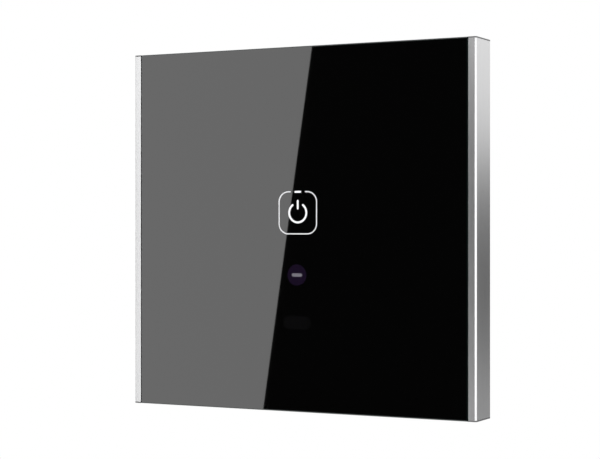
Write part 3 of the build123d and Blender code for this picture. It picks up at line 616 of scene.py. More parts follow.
@dataclass(frozen=True)
class Winding(Finish):
    """Enamelled wire wound in close turns."""

    metal: float = 1.0
    coat: float = 0.5
    # Here the mottle sets how far painted shade darkens the gaps and a painted highlight lightens the crowns.
    mottle: float = 0.35
    spread: float = 0.2
    wire: float = 0.22 * MM

    def dress(self, nodes: Nodes) -> Sockets:
        """Give the winding its turns as rounded bands, with painted shade in the gaps and a painted highlight
        on each crown.

        Args:
            nodes: the material's nodes.

        Returns:
            The shader's sockets by name.
        """
        _, y, _ = nodes.axes()
        turn = abs(y.repeat(self.wire)) * 2
        crown = 1 - turn * turn
        return {
            # Painted shade in the gaps between turns and a painted highlight on each crown.
            "Base Color": self.shade(nodes, crown),
            "Roughness": self.sheen(1 - crown),
            "Normal": nodes.bump(crown, self.wire / 2),
        }


@dataclass(frozen=True)
class Taped(Finish):
    """Tape wound round a coil, with the edge of each layer showing."""

    mottle: float = 0.22
    spread: float = 0.2
    depth: float = 0.05 * MM
    band: float = 1.6 * MM
    lap: Span = (0.0, 0.12)
    layer_share: float = 0.6
    wrinkle_grain: Point = (0.5 * MM, 3 * MM, 2 * MM)

    def dress(self, nodes: Nodes) -> Sockets:
        """Give the tape its layers and its wrinkles.

        Args:
            nodes: the material's nodes.

        Returns:
            The shader's sockets by name.
        """
        _, y, _ = nodes.axes()
        layer = (y / self.band) % 1.0
        wrinkle = nodes.noise(self.wrinkle_grain, detail=3.0)
        return {
            "Base Color": self.shade(nodes, layer.ease(*self.lap).share(self.layer_share, wrinkle)),
            "Roughness": self.sheen(wrinkle),
            "Normal": nodes.bump(layer.share(self.layer_share, wrinkle), self.depth),
        }


@dataclass(frozen=True)
class Sleeved(Finish):
    """A capacitor's shrunk sleeve with its pale stripe, and the bare can at the top."""

    mottle: float = 0.2
    spread: float = 0.15
    depth: float = 0.03 * MM
    stripe: Colour = (0.5, 0.55, 0.62)
    can: Colour = (0.72, 0.72, 0.73)
    can_height: float = 0.15 * MM
    stripe_reach: float = 1.15 * MM
    shrink_grain: Point = (1.5 * MM, 4 * MM, 1.5 * MM)

    def dress(self, nodes: Nodes) -> Sockets:
        """Give the capacitor its sleeve, the stripe and the can.

        Args:
            nodes: the material's nodes.

        Returns:
            The shader's sockets by name.
        """
        _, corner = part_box("smoothing_capacitors")
        x, y, _ = nodes.axes()
        top = y > corner.y - self.can_height
        stripe = (x > corner.x - self.stripe_reach) * (1 - top)
        shrink = nodes.noise(self.shrink_grain)
        sleeve = nodes.blend(stripe, self.shade(nodes, shrink), self.stripe)
        return {
            "Base Color": nodes.blend(top, sleeve, self.can),
            "Metallic": top,
            "Roughness": self.sheen(shrink),
            "Normal": nodes.bump(shrink, self.depth),
        }


@dataclass(frozen=True)
class ChipParts(Finish):
    """Small chip parts: dark film on one side of the board, tan fired ceramic on the other."""

    spread: float = 0.2
    other: Colour = (0.3, 0.2, 0.12)
    speck: Colour = (0.6, 0.58, 0.5)
    speck_share: float = 0.25
    contrast: Span = (0.3, 0.9)
    grain: float = 0.08 * MM

    def dress(self, nodes: Nodes) -> Sockets:
        """Give the parts their two kinds, with their grain.

        Args:
            nodes: the material's nodes.

        Returns:
            The shader's sockets by name.
        """
        x, _, _ = nodes.axes()
        grain = nodes.noise(self.grain)
        kinds = nodes.blend(x < 0.0, self.colour, self.other)
        specks = grain.ease(*self.contrast) * self.speck_share
        return {
            "Base Color": nodes.blend(specks, kinds, self.speck),
            "Roughness": self.sheen(grain),
            "Normal": nodes.bump(grain, self.depth),
        }


@dataclass(frozen=True)
class Lamp(Finish):
    """A chip lamp: a white case with its yellow phosphor window."""

    phosphor: Colour = (0.85, 0.62, 0.08)
    window: float = 0.33 * MM
    grain: float = 0.1 * MM

    def dress(self, nodes: Nodes) -> Sockets:
        """Give the lamps their cases, and the window over each.

        Args:
            nodes: the material's nodes.

        Returns:
            The shader's sockets by name.
        """
        x, _, z = nodes.axes()
        key, status = (x.length(z - middle(lamp).z) < self.window for lamp in ("key_lamp", "status_lamp"))
        grain = nodes.noise(self.grain)
        return {
            "Base Color": nodes.blend(key + status, self.shade(nodes, grain), self.phosphor),
            "Roughness": self.sheen(grain),
        }


@dataclass(frozen=True)
class Frosted(Finish):
    """Clear plastic with a frosted skin."""

    roughness: float = 0.28
    ior: float = 1.49
    mottle: float = 0.04
    spread: float = 0.16
    clear: float = 0.7
    grain: float = 0.12 * MM

    def dress(self, nodes: Nodes) -> Sockets:
        """Give the plastic the frost's grain, with light passing through.

        Args:
            nodes: the material's nodes.

        Returns:
            The shader's sockets by name.
        """
        frost = nodes.noise(self.grain, detail=3.0)
        return {
            "Base Color": self.shade(nodes, frost),
            "Roughness": self.sheen(frost),
            "Transmission Weight": self.clear,
            "Normal": nodes.bump(frost, self.depth),
        }


@dataclass(frozen=True)
class Paper(Finish):
    """A blank paper label."""

    roughness: float = 0.62
    spread: float = 0.15
    depth: float = 0.006 * MM
    fibre_grain: Point = (0.5 * MM, 0.1 * MM, 0.12 * MM)
    pulp_grain: float = 4 * MM
    fibre_share: float = 0.5

    def dress(self, nodes: Nodes) -> Sockets:
        """Give the paper its fibres.

        Args:
            nodes: the material's nodes.

        Returns:
            The shader's sockets by name.
        """
        fibre = nodes.noise(self.fibre_grain, detail=4.0, rough=0.7)
        pulp = nodes.noise(self.pulp_grain, detail=3.0)
        return {
            "Base Color": self.shade(nodes, fibre.share(self.fibre_share, pulp)),
            "Roughness": self.sheen(fibre),
            "Normal": nodes.bump(fibre, self.depth),
        }


class Looks(Enum):
    """Every finish of the switch."""

    BLACK_GLASS = PolishedGlass("black_glass", (0.0012, 0.0012, 0.0012))
    WHITE_PRINT = Ink("white_print", (0.93, 0.93, 0.95))
    FINE_PRINT = Ink("fine_print", (0.76, 0.76, 0.78))
    # Each window's second colour is painted shade, darker than its middle, at its edge.
    PURPLE_WINDOW = Window(
        "purple_window", (0.0092, 0.005, 0.0152), painted_rim_shade=(0.0082, 0.0044, 0.0134), node="status_window",
    )
    GREY_WINDOW = Window("grey_window", (0.172, 0.164, 0.19), painted_rim_shade=(0.16, 0.152, 0.176), node="status_slot")
    DARK_WINDOW = Window(
        "dark_window", (0.0029, 0.0029, 0.0031), painted_rim_shade=(0.0028, 0.0028, 0.003), node="receiver_window",
    )
    BLACK_FILM = Moulded("black_film", (0.012, 0.012, 0.012), 0.45, grain=0.3 * MM, depth=0.002 * MM)
    BRUSHED_RAIL = Brushed("brushed_rail", (0.62, 0.62, 0.625), 0.3)
    DARK_CAP = Moulded("dark_cap", (0.13, 0.13, 0.134), 0.5, grain=0.1 * MM)
    BLACK_CARRIER = Moulded("black_carrier", (0.022, 0.022, 0.023), 0.5)
    BLACK_FRAME = Moulded("black_frame", (0.028, 0.028, 0.029), 0.55, grain=0.2 * MM, depth=0.006 * MM)
    GREY_HOUSING = Moulded(
        "grey_housing", (0.6, 0.6, 0.585), 0.48, grain=0.22 * MM, depth=0.006 * MM, mottle=0.04,
    )
    WHITE_BLOCK = Moulded("white_block", (0.8, 0.8, 0.785), 0.45, mottle=0.03)
    BLACK_BLOCK = Moulded("black_block", (0.02, 0.02, 0.021), 0.42, grain=0.12 * MM)
    BLACK_EPOXY = Moulded("black_epoxy", (0.02, 0.02, 0.021), 0.6, grain=0.07 * MM, depth=0.006 * MM)
    BLUE_COVER = Moulded("blue_cover", (0.03, 0.13, 0.42), 0.35, grain=0.12 * MM, depth=0.003 * MM)
    YELLOW_CASE = Moulded("yellow_case", (0.85, 0.62, 0.08), 0.33, grain=0.12 * MM)
    BLUE_LACQUER = Moulded(
        "blue_lacquer", (0.04, 0.12, 0.36), 0.22, grain=0.6 * MM, depth=0.03 * MM, mottle=0.15,
    )
    FUSE_CASE = Moulded("fuse_case", (0.3, 0.05, 0.03), 0.35, grain=0.12 * MM)
    FERRITE = Moulded(
        "ferrite", (0.05, 0.05, 0.052), 0.5, grain=0.05 * MM, depth=0.008 * MM, mottle=0.25,
    )
    ZINC_SCREW = Plated("zinc_screw", (0.66, 0.67, 0.69), 0.32)
    CLAMP_STEEL = Plated("clamp_steel", (0.6, 0.61, 0.63), 0.36, cloud=(0.68, 0.6, 0.42))
    SPRING_STEEL = Brushed("spring_steel", (0.5, 0.5, 0.5), 0.24, lines=(4 * MM, 0.05 * MM, 0.05 * MM))
    RELAY_IRON = Plated("relay_iron", (0.56, 0.55, 0.53), 0.34, cloud=(0.5, 0.48, 0.42))
    SHIELD_METAL = Brushed(
        "shield_metal", (0.68, 0.68, 0.66), 0.26, lines=(5 * MM, 0.05 * MM, 0.05 * MM), depth=0.002 * MM,
    )
    TIN = Plated("tin", (0.74, 0.74, 0.72), 0.3, cloud=(0.6, 0.6, 0.58))
    TINNED_BRASS = Plated("tinned_brass", (0.74, 0.66, 0.42), 0.33, cloud=(0.7, 0.68, 0.6))
    GOLD_PIN = Plated("gold_pin", (0.83, 0.64, 0.28), 0.22, cloud=(0.86, 0.68, 0.34))
    COPPER = Plated("copper", (0.78, 0.4, 0.24), 0.25, cloud=(0.7, 0.34, 0.2))
    COPPER_WIRE = Winding("copper_wire", (0.72, 0.28, 0.12), 0.35)
    YELLOW_TAPE = Taped("yellow_tape", (0.85, 0.6, 0.08), 0.35)
    GREEN_BOARD = CircuitBoard("green_board", (0.012, 0.1, 0.04))
    CAPACITOR_SLEEVE = Sleeved("capacitor_sleeve", (0.02, 0.03, 0.06), 0.32)
    CHIP_PARTS = ChipParts("chip_parts", (0.03, 0.03, 0.035), 0.45)
    LAMP_WHITE = Lamp("lamp_white", (0.85, 0.84, 0.8), 0.35)
    CLEAR_GUIDE = Frosted("clear_guide", (0.86, 0.88, 0.88))
    LABEL_PAPER = Paper("label_paper", (0.86, 0.86, 0.85))


# Modelling steps


class Pick(Enum):
    """What a selection in edit mode picks."""

    EDGES = "EDGE"
    FACES = "FACE"


class Body(Enum):
    """The CAD bodies that new pieces ride on."""

    BASE = "base"
    FRONT_PANEL = "front_panel"


class Bench:
    """The modelling steps that the pieces share, each through Blender's own operators.

    An edge over the SHARP angle is rounded, faces within the FLAT angle become one, points within
    SAME_POINT are merged, and an edge is found by a place within NEAR of its middle.
    """

    SHARP = math.radians(40.0)
    FLAT = math.radians(0.4)
    SAME_POINT = 0.0005 * MM
    NEAR = 0.05 * MM
    LARGE_FACE_WEIGHT = 100

    @staticmethod
    def hold(*pieces: bpy.types.Object) -> None:
        """Deselect everything, then select some pieces.

        Args:
            pieces: the pieces, the first of which becomes active.
        """
        bpy.ops.object.select_all(action="DESELECT")
        for piece in pieces:
            piece.select_set(True)
        bpy.context.view_layer.objects.active = pieces[0]

    @staticmethod
    def pick(kind: Pick, test: Callable[[Vector, Vector], bool]) -> None:
        """Select parts of the piece in edit mode.

        Args:
            kind: faces or edges.
            test: takes a face's middle and normal, or an edge's middle and the normal at its first
                end, and says whether it is selected.
        """
        bpy.ops.mesh.select_mode(type=kind.value)
        bpy.ops.mesh.select_all(action="DESELECT")
        shape = bmesh.from_edit_mesh(bpy.context.edit_object.data)
        shape.normal_update()
        if kind is Pick.FACES:
            for face in shape.faces:
                face.select_set(test(face.calc_center_median(), face.normal))
        else:
            for edge in shape.edges:
                one, other = edge.verts
                edge.select_set(test((one.co + other.co) / 2, one.normal))
        shape.select_flush_mode()
        bmesh.update_edit_mesh(bpy.context.edit_object.data)

    @staticmethod
    def block(name: str, centre: Point, size: Point) -> bpy.types.Object:
        """Start a piece as a block.

        Args:
            name: the piece's name.
            centre: the block's middle, in metres.
            size: its three sizes, in metres.

        Returns:
            The piece, whose object sits at the origin, in edit mode.
        """
        bpy.ops.object.select_all(action="DESELECT")
        bpy.ops.mesh.primitive_cube_add(size=1.0, location=centre)
        piece = bpy.context.active_object
        piece.name = piece.data.name = name
        piece.scale = size
        bpy.ops.object.transform_apply(location=True, rotation=True, scale=True)
        bpy.ops.object.mode_set(mode="EDIT")
        return piece

    @staticmethod
    def copies(first: bpy.types.Object, shifts: Iterable[Point]) -> bpy.types.Object:
        """Repeat a piece and make the copies one with it.

        Args:
            first: the piece to repeat.
            shifts: how far each copy lies from the first, in metres.

        Returns:
            The first piece, with every copy joined to it.
        """
        made = [first]
        for shift in shifts:
            copy = put(first.name, first.data.copy())
            copy.location = shift
            made.append(copy)
        Bench.hold(*made)
        bpy.ops.object.transform_apply(location=True, rotation=True, scale=True)
        bpy.ops.object.join()
        return first

    @staticmethod
    def soften(piece: bpy.types.Object, width: float, segments: int = 2) -> None:
        """Round the sharp edges of a piece and shade it smooth.

        Args:
            piece: the piece.
            width: the width of the rounding, in metres.
            segments: the number of strips in it.
        """
        Bench.hold(piece)
        bevel = piece.modifiers.new("edges", "BEVEL")
        bevel.width, bevel.segments = width, segments
        bevel.limit_method, bevel.angle_limit = "ANGLE", Bench.SHARP
        bevel.use_clamp_overlap = True
        bpy.ops.object.modifier_apply(modifier=bevel.name)
        bpy.ops.object.shade_smooth_by_angle(angle=Bench.SHARP)
        weighted = piece.modifiers.new("flat_faces", "WEIGHTED_NORMAL")
        weighted.keep_sharp, weighted.weight = True, Bench.LARGE_FACE_WEIGHT
        bpy.ops.object.modifier_apply(modifier=weighted.name)

    @staticmethod
    def softened_copy(node: str, name: str, width: float) -> bpy.types.Object:
        """Copy a CAD node's mesh, merge it and round its sharp edges.

        Args:
            node: the CAD node.
            name: the new piece's name.
            width: the width of the rounding, in metres.

        Returns:
            The new piece.
        """
        piece = put(name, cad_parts[node].data.copy())
        piece.data.name = name
        Bench.hold(piece)
        bpy.ops.object.mode_set(mode="EDIT")
        bpy.ops.mesh.select_all(action="SELECT")
        bpy.ops.mesh.remove_doubles(threshold=Bench.SAME_POINT)
        bpy.ops.mesh.dissolve_limited(angle_limit=Bench.FLAT)
        bpy.ops.object.mode_set(mode="OBJECT")
        if piece.data.has_custom_normals:
            bpy.ops.mesh.customdata_custom_splitnormals_clear()
        Bench.soften(piece, width)
        return piece

    @staticmethod
    def finish(
        piece: bpy.types.Object, look: Looks, body: Body, slot: str, *nodes: str,
    ) -> bpy.types.Object:
        """Give a new piece its finish and its place on the switch.

        Args:
            piece: the piece.
            look: its finish.
            body: the CAD body that it rides on.
            slot: the name of a material slot; not used.
            nodes: the CAD nodes that it stands for, if any.

        Returns:
            The piece.
        """
        if bpy.context.mode != "OBJECT":
            bpy.ops.object.mode_set(mode="OBJECT")
        piece.data.materials.clear()
        piece.data.materials.append(look.value.material())
        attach(piece, body.value)
        if nodes:
            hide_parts(*nodes)
        return piece


@dataclass
class Assembly:
    """A sub-assembly of the switch, with the CAD nodes that keep their shape and the finish of each."""

    title: ClassVar[str]
    looks: ClassVar[dict[str, Looks]] = {}

    def build(self) -> list[bpy.types.Object]:
        """Make and return the new pieces."""
        return []

    def dress(self) -> list[bpy.types.Object]:
        """Give the CAD nodes their finishes.

        Returns:
            The nodes' objects.
        """
        shown = []
        for node, look in self.looks.items():
            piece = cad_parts[node]
            for material_slot in piece.material_slots:
                material_slot.material = look.value.material()
            shown.append(piece)
        return shown


# The front panel


@dataclass
class GlassFront(Assembly):
    """The glass with its prints and windows, and the film that bonds it to the tray."""

    title = "glass front"
    looks = {
        "glass_panel": Looks.BLACK_GLASS,
        "key_outline": Looks.FINE_PRINT,
        "power_symbol": Looks.WHITE_PRINT,
        "key_light_window": Looks.WHITE_PRINT,
        "status_window": Looks.PURPLE_WINDOW,
        "status_slot": Looks.GREY_WINDOW,
        "receiver_window": Looks.DARK_WINDOW,
        "bonding_film": Looks.BLACK_FILM,
    }


class Side(Enum):
    """A side of the front panel."""

    LEFT = "left"
    RIGHT = "right"


@dataclass
class SideRails(Assembly):
    """The two metal rails that hold the glass, and the caps in their ends."""

    title = "side rails"
    looks = {"rail_end_caps": Looks.DARK_CAP}
    edge: float = 0.03 * MM

    def rail(self, side: Side) -> bpy.types.Object:
        """Copy the rail of one side with its edges eased.

        Args:
            side: the side.

        Returns:
            The rail.
        """
        node = f"{side.value}_side_rail"
        rail = Bench.softened_copy(node, f"{side.value}_rail_metal", self.edge)
        return Bench.finish(rail, Looks.BRUSHED_RAIL, Body.FRONT_PANEL, "brushed_rail", node)

    def build(self) -> list[bpy.types.Object]:
        """Make and return both rails."""
        return [self.rail(side) for side in Side]


@dataclass
class PanelTray(Assembly):
    """The moulded tray behind the glass, with its hooks."""

    title = "panel tray"
    edge: float = 0.08 * MM

    def build(self) -> list[bpy.types.Object]:
        """Copy the tray with its edges eased, and return it."""
        tray = Bench.softened_copy("panel_carrier", "panel_tray", self.edge)
        return [Bench.finish(tray, Looks.BLACK_CARRIER, Body.FRONT_PANEL, "black_carrier", "panel_carrier")]


# The base


@dataclass
class WallFrame(Assembly):
    """The frame on the wall with the spring clips that catch the tray's hooks."""

    title = "wall frame"
    looks = {"panel_catches": Looks.SPRING_STEEL}
    edge: float = 0.12 * MM

    def build(self) -> list[bpy.types.Object]:
        """Copy the frame with its edges eased, and return it."""
        moulding = Bench.softened_copy("base_frame", "wall_frame", self.edge)
        return [Bench.finish(moulding, Looks.BLACK_FRAME, Body.BASE, "black_frame", "base_frame")]


@dataclass
class RearBox(Assembly):
    """The box behind the wall frame, its four screws and its blank label."""

    title = "rear box"
    looks = {"housing_screws": Looks.ZINC_SCREW}
    edge: float = 0.15 * MM
    label_width: float = 33.6 * MM
    label_height: float = 11.6 * MM
    label_thickness: float = 0.14 * MM
    label_sink: float = 0.3 * MM
    label_z: float = -7.5 * MM
    label_corner: float = 0.9 * MM
    label_corner_steps: int = 6
    label_margin: float = 0.05 * MM
    label_swell: float = 0.01 * MM

    def label(self) -> bpy.types.Object:
        """Shape the label: a thin block whose four corners are rounded.

        Returns:
            The label, in edit mode.
        """
        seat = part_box("rear_housing")[1].y - self.label_sink
        label = Bench.block(
            "rear_label", (0.0, seat + self.label_thickness / 2, self.label_z),
            (self.label_width, self.label_thickness, self.label_height),
        )
        corner_x = self.label_width / 2 - self.label_corner
        corner_z = self.label_height / 2 - self.label_corner
        Bench.pick(
            Pick.EDGES, lambda at, _: abs(at.x) > corner_x and abs(at.z - self.label_z) > corner_z,
        )
        bpy.ops.mesh.bevel(offset=self.label_corner, segments=self.label_corner_steps, affect="EDGES")
        Bench.pick(Pick.FACES, lambda _, way: way.y > ALONG)
        bpy.ops.mesh.inset(thickness=self.label_margin)
        bpy.ops.transform.translate(value=(0.0, self.label_swell, 0.0))
        return label

    def build(self) -> list[bpy.types.Object]:
        """Copy the box with its edges eased, and add the label.

        Returns:
            The box and the label.
        """
        box = Bench.softened_copy("rear_housing", "rear_box", self.edge)
        return [
            Bench.finish(box, Looks.GREY_HOUSING, Body.BASE, "grey_housing", "rear_housing"),
            Bench.finish(self.label(), Looks.LABEL_PAPER, Body.BASE, "grey_housing"),
        ]


@dataclass
class Terminals(Assembly):
    """The terminal block with its three screws, clamps and plates."""

    title = "terminals"
    looks = {"terminal_plates": Looks.TINNED_BRASS} | {
        f"terminal_{part}_{pole}": look
        for pole in (1, 2, 3)
        for part, look in (("screw", Looks.ZINC_SCREW), ("clamp", Looks.CLAMP_STEEL))
    }
    edge: float = 0.08 * MM

    def build(self) -> list[bpy.types.Object]:
        """Copy the block with its edges eased, and return it."""
        block = Bench.softened_copy("terminal_block", "terminal_moulding", self.edge)
        return [Bench.finish(block, Looks.BLACK_BLOCK, Body.BASE, "black_block", "terminal_block")]


@dataclass
class TouchElectronics(Assembly):
    """The touch board in the frame's pan, and everything on it.

    A leg of the chip comes out of its side and slopes down to its foot on the board. The aerial is
    one folded track: its feed, then folds that run down and up in turn.
    """

    title = "touch electronics"
    looks = {
        "touch_board": Looks.GREEN_BOARD,
        "touch_board_screws": Looks.ZINC_SCREW,
        "touch_chip": Looks.BLACK_EPOXY,
        "touch_board_parts": Looks.CHIP_PARTS,
        "touch_spring": Looks.SPRING_STEEL,
        "radio_board": Looks.GREEN_BOARD,
        "radio_shield": Looks.SHIELD_METAL,
        "key_lamp": Looks.LAMP_WHITE,
        "status_lamp": Looks.LAMP_WHITE,
        "key_light_guide": Looks.CLEAR_GUIDE,
        "status_light_guide": Looks.CLEAR_GUIDE,
        "infrared_receiver": Looks.BLACK_EPOXY,
    }
    leg_count: int = 8
    leg_pitch: float = 0.5 * MM
    leg_width: float = 0.24 * MM
    leg_thickness: float = 0.14 * MM
    leg_rise: float = 0.45 * MM
    leg_shoulder: float = 0.25 * MM
    leg_slope: float = 0.15 * MM
    leg_foot: float = 0.35 * MM
    leg_gap: float = 0.014 * MM
    leg_edge: float = 0.02 * MM
    part_rows: int = 5
    part_length: float = 1.6 * MM
    part_width: float = 0.8 * MM
    cap_length: float = 0.34 * MM
    cap_over: float = 0.03 * MM
    cap_rim: float = 0.06 * MM
    cap_swell: float = 0.02 * MM
    cap_edge: float = 0.03 * MM
    aerial_start: Span = (-4.2 * MM, 4.0 * MM)
    aerial_feed: float = 3.6 * MM
    aerial_fold: float = 2.4 * MM
    aerial_pitch: float = 1.4 * MM
    aerial_folds: int = 6
    track_width: float = 0.5 * MM
    track_height: float = 0.05 * MM
    track_gap: float = 0.002 * MM
    block_edge: float = 0.1 * MM

    @staticmethod
    def tip(piece: bpy.types.Object) -> float:
        """Return the largest X of a piece in edit mode."""
        return max(vert.co.x for vert in bmesh.from_edit_mesh(piece.data).verts)

    def leg(self) -> bpy.types.Object:
        """Shape the chip's first leg, whose end goes down to the board and then out along it.

        The slope's front goes out with the end, so the leg is solid from its slope to its foot.

        Returns:
            The leg, in edit mode.
        """
        _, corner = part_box("touch_chip")
        first_z = middle("touch_chip").z - (self.leg_count - 1) / 2 * self.leg_pitch
        leg = Bench.block(
            "touch_chip_legs", (corner.x + self.leg_shoulder / 2, corner.y - self.leg_rise, first_z),
            (self.leg_shoulder, self.leg_thickness, self.leg_width),
        )
        drop = self.leg_rise - self.leg_thickness / 2 - self.leg_gap
        for step in ((self.leg_slope, drop, 0.0), (self.leg_foot, 0.0, 0.0)):
            behind = self.tip(leg) - self.leg_slope
            Bench.pick(Pick.FACES, lambda at, way, behind=behind: way.x > ALONG and at.x > behind)
            bpy.ops.mesh.extrude_region_move(TRANSFORM_OT_translate={"value": step})
        return leg

    def chip_legs(self) -> bpy.types.Object:
        """Repeat the leg along one side of the chip, and that side round the chip.

        Returns:
            All the legs as one piece.
        """
        centre = middle("touch_chip")
        leg = self.leg()
        bpy.ops.object.mode_set(mode="OBJECT")
        Bench.soften(leg, self.leg_edge, 1)
        side = Bench.copies(leg, [(0.0, 0.0, n * self.leg_pitch) for n in range(1, self.leg_count)])
        sides = [side]
        for quarter in (1, 2, 3):
            copy = put("touch_chip_side", side.data.copy())
            Bench.hold(copy)
            bpy.ops.object.mode_set(mode="EDIT")
            bpy.ops.mesh.select_all(action="SELECT")
            bpy.ops.transform.rotate(
                value=quarter * math.pi / 2, orient_axis="Y", center_override=(centre.x, 0.0, centre.z),
            )
            bpy.ops.object.mode_set(mode="OBJECT")
            sides.append(copy)
        Bench.hold(*sides)
        bpy.ops.object.join()
        return side

    def end_caps(self) -> bpy.types.Object:
        """Shape one metal cap of a chip part and repeat it on both ends of all of them.

        Returns:
            All the caps as one piece.
        """
        low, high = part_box("touch_board_parts")
        size = (self.cap_length, high.y - low.y + self.cap_over, self.part_width + 2 * self.cap_over)
        centre = (
            low.x + self.cap_length / 2 - self.cap_over, (low.y + high.y - self.cap_over) / 2,
            low.z + self.part_width / 2,
        )
        cap = Bench.block("chip_part_caps", centre, size)
        Bench.pick(Pick.FACES, lambda _, way: way.x < -ALONG)
        bpy.ops.mesh.inset(thickness=self.cap_rim)
        bpy.ops.transform.translate(value=(-self.cap_swell, 0.0, 0.0))
        bpy.ops.object.mode_set(mode="OBJECT")
        Bench.soften(cap, self.cap_edge, 1)
        pitch = (high.z - low.z - self.part_width) / (self.part_rows - 1)
        other_side = high.x - low.x - self.part_length
        other_end = self.part_length - self.cap_length + 2 * self.cap_over
        shifts = [
            (side + end, 0.0, row * pitch)
            for side in (0.0, other_side) for end in (0.0, other_end) for row in range(self.part_rows)
        ]
        return Bench.copies(cap, shifts[1:])

    def aerial_runs(self) -> list[Vector]:
        """List the aerial's runs.

        Returns:
            Each run as a vector from one corner to the next, in metres.
        """
        runs = [Vector((0.0, 0.0, self.aerial_feed))]
        fold = Vector((0.0, 0.0, -self.aerial_fold))
        for _ in range(self.aerial_folds):
            runs += [Vector((self.aerial_pitch, 0.0, 0.0)), fold]
            fold = -fold
        return runs

    def aerial(self) -> bpy.types.Object:
        """Draw the radio's aerial, extruded run by run from its first corner.

        Returns:
            The track, in edit mode.
        """
        radio = middle("radio_board")
        corner = Vector((radio.x + self.aerial_start[0], 0.0, radio.z + self.aerial_start[1]))
        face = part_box("radio_board")[0].y - self.track_gap
        bpy.ops.object.select_all(action="DESELECT")
        bpy.ops.mesh.primitive_plane_add(
            size=self.track_width, location=(corner.x, face, corner.z), rotation=(math.pi / 2, 0.0, 0.0),
        )
        track = bpy.context.active_object
        track.name = track.data.name = "radio_aerial"
        bpy.ops.object.transform_apply(location=True, rotation=True, scale=True)
        bpy.ops.object.mode_set(mode="EDIT")
        for run in self.aerial_runs():
            half = run.normalized() * self.track_width / 2
            front = corner + half
            Bench.pick(
                Pick.EDGES,
                lambda at, _, front=front: math.hypot(at.x - front.x, at.z - front.z) < Bench.NEAR,
            )
            bpy.ops.mesh.extrude_edges_move(TRANSFORM_OT_translate={"value": run - 2 * half})
            bpy.ops.mesh.extrude_edges_move(TRANSFORM_OT_translate={"value": 2 * half})
            corner = corner + run
        bpy.ops.mesh.select_all(action="SELECT")
        bpy.ops.mesh.extrude_region_move(TRANSFORM_OT_translate={"value": (0.0, -self.track_height, 0.0)})
        bpy.ops.mesh.select_all(action="SELECT")
        bpy.ops.mesh.normals_make_consistent(inside=False)
        return track

    def build(self) -> list[bpy.types.Object]:
        """Add the chip's legs, the parts' caps, the aerial and the light block.

        Returns:
            Those four pieces.
        """
        block = Bench.softened_copy("light_block", "light_moulding", self.block_edge)
        return [
            Bench.finish(self.chip_legs(), Looks.TIN, Body.BASE, "shield_metal"),
            Bench.finish(self.end_caps(), Looks.TIN, Body.BASE, "shield_metal"),
            Bench.finish(self.aerial(), Looks.COPPER, Body.BASE, "copper"),
            Bench.finish(block, Looks.WHITE_BLOCK, Body.BASE, "white_block", "light_block"),
        ]


@dataclass
class PowerElectronics(Assembly):
    """The power board with its supply, filter and protection parts, and the link of pins."""

    title = "power electronics"
    looks = {
        "power_board": Looks.GREEN_BOARD,
        "header_pins": Looks.GOLD_PIN,
        "header_strip": Looks.BLACK_BLOCK,
        "transformer_core": Looks.FERRITE,
        "transformer_coil": Looks.YELLOW_TAPE,
        "smoothing_capacitors": Looks.CAPACITOR_SLEEVE,
        "filter_capacitor": Looks.YELLOW_CASE,
        "varistor": Looks.BLUE_LACQUER,
        "fuse": Looks.FUSE_CASE,
        "choke": Looks.FERRITE,
        "bridge_rectifier": Looks.BLACK_EPOXY,
    }


@dataclass
class Relay(Assembly):
    """The relay, whose armature swings under its cover."""

    title = "relay"
    looks = {
        "relay_base": Looks.BLACK_BLOCK,
        "relay_cover": Looks.BLUE_COVER,
        "relay_yoke": Looks.RELAY_IRON,
        "relay_core": Looks.RELAY_IRON,
        "relay_armature": Looks.RELAY_IRON,
        "relay_bobbin": Looks.WHITE_BLOCK,
        "relay_coil": Looks.COPPER_WIRE,
        "relay_contact_blade": Looks.COPPER,
        "relay_fixed_contact": Looks.COPPER,
    }


# Light and view


@dataclass(frozen=True)
class Card:
    """A flat card that only reflections see: a soft light, or a dark flag.

    Its glow is its brightness at each of some heights in metres, lowest first, or at one height
    where the card is the same all over.
    """

    name: str
    corners: tuple[Point, ...]
    glow: Glow

    def build(self) -> None:
        """Make the card, hidden from the camera, diffuse light, shadows, transmission and volumes."""
        mesh = bpy.data.meshes.new(self.name)
        mesh.from_pydata(list(self.corners), [], [tuple(range(len(self.corners)))])
        card = put(self.name, mesh)
        made = bpy.data.materials.new(f"{self.name}_light")
        nodes = Nodes(made)
        peak = max(level for _, level in self.glow)
        shine: Value = WHITE
        if len(self.glow) > 1:
            height = nodes.axes()[2]
            share: Value = self.glow[0][1] / peak
            for (low, dim), (high, bright) in zip(self.glow, self.glow[1:]):
                share = share + height.ease(low, high) * ((bright - dim) / peak)
            shine = nodes.blend(share, BLACK, WHITE)
        light = nodes.add("ShaderNodeEmission", {}, {"Color": shine, "Strength": peak})
        nodes.add("ShaderNodeOutputMaterial", {}, {"Surface": light})
        mesh.materials.append(made)
        card.visible_camera = card.visible_diffuse = card.visible_shadow = False
        card.visible_transmission = card.visible_volume_scatter = False


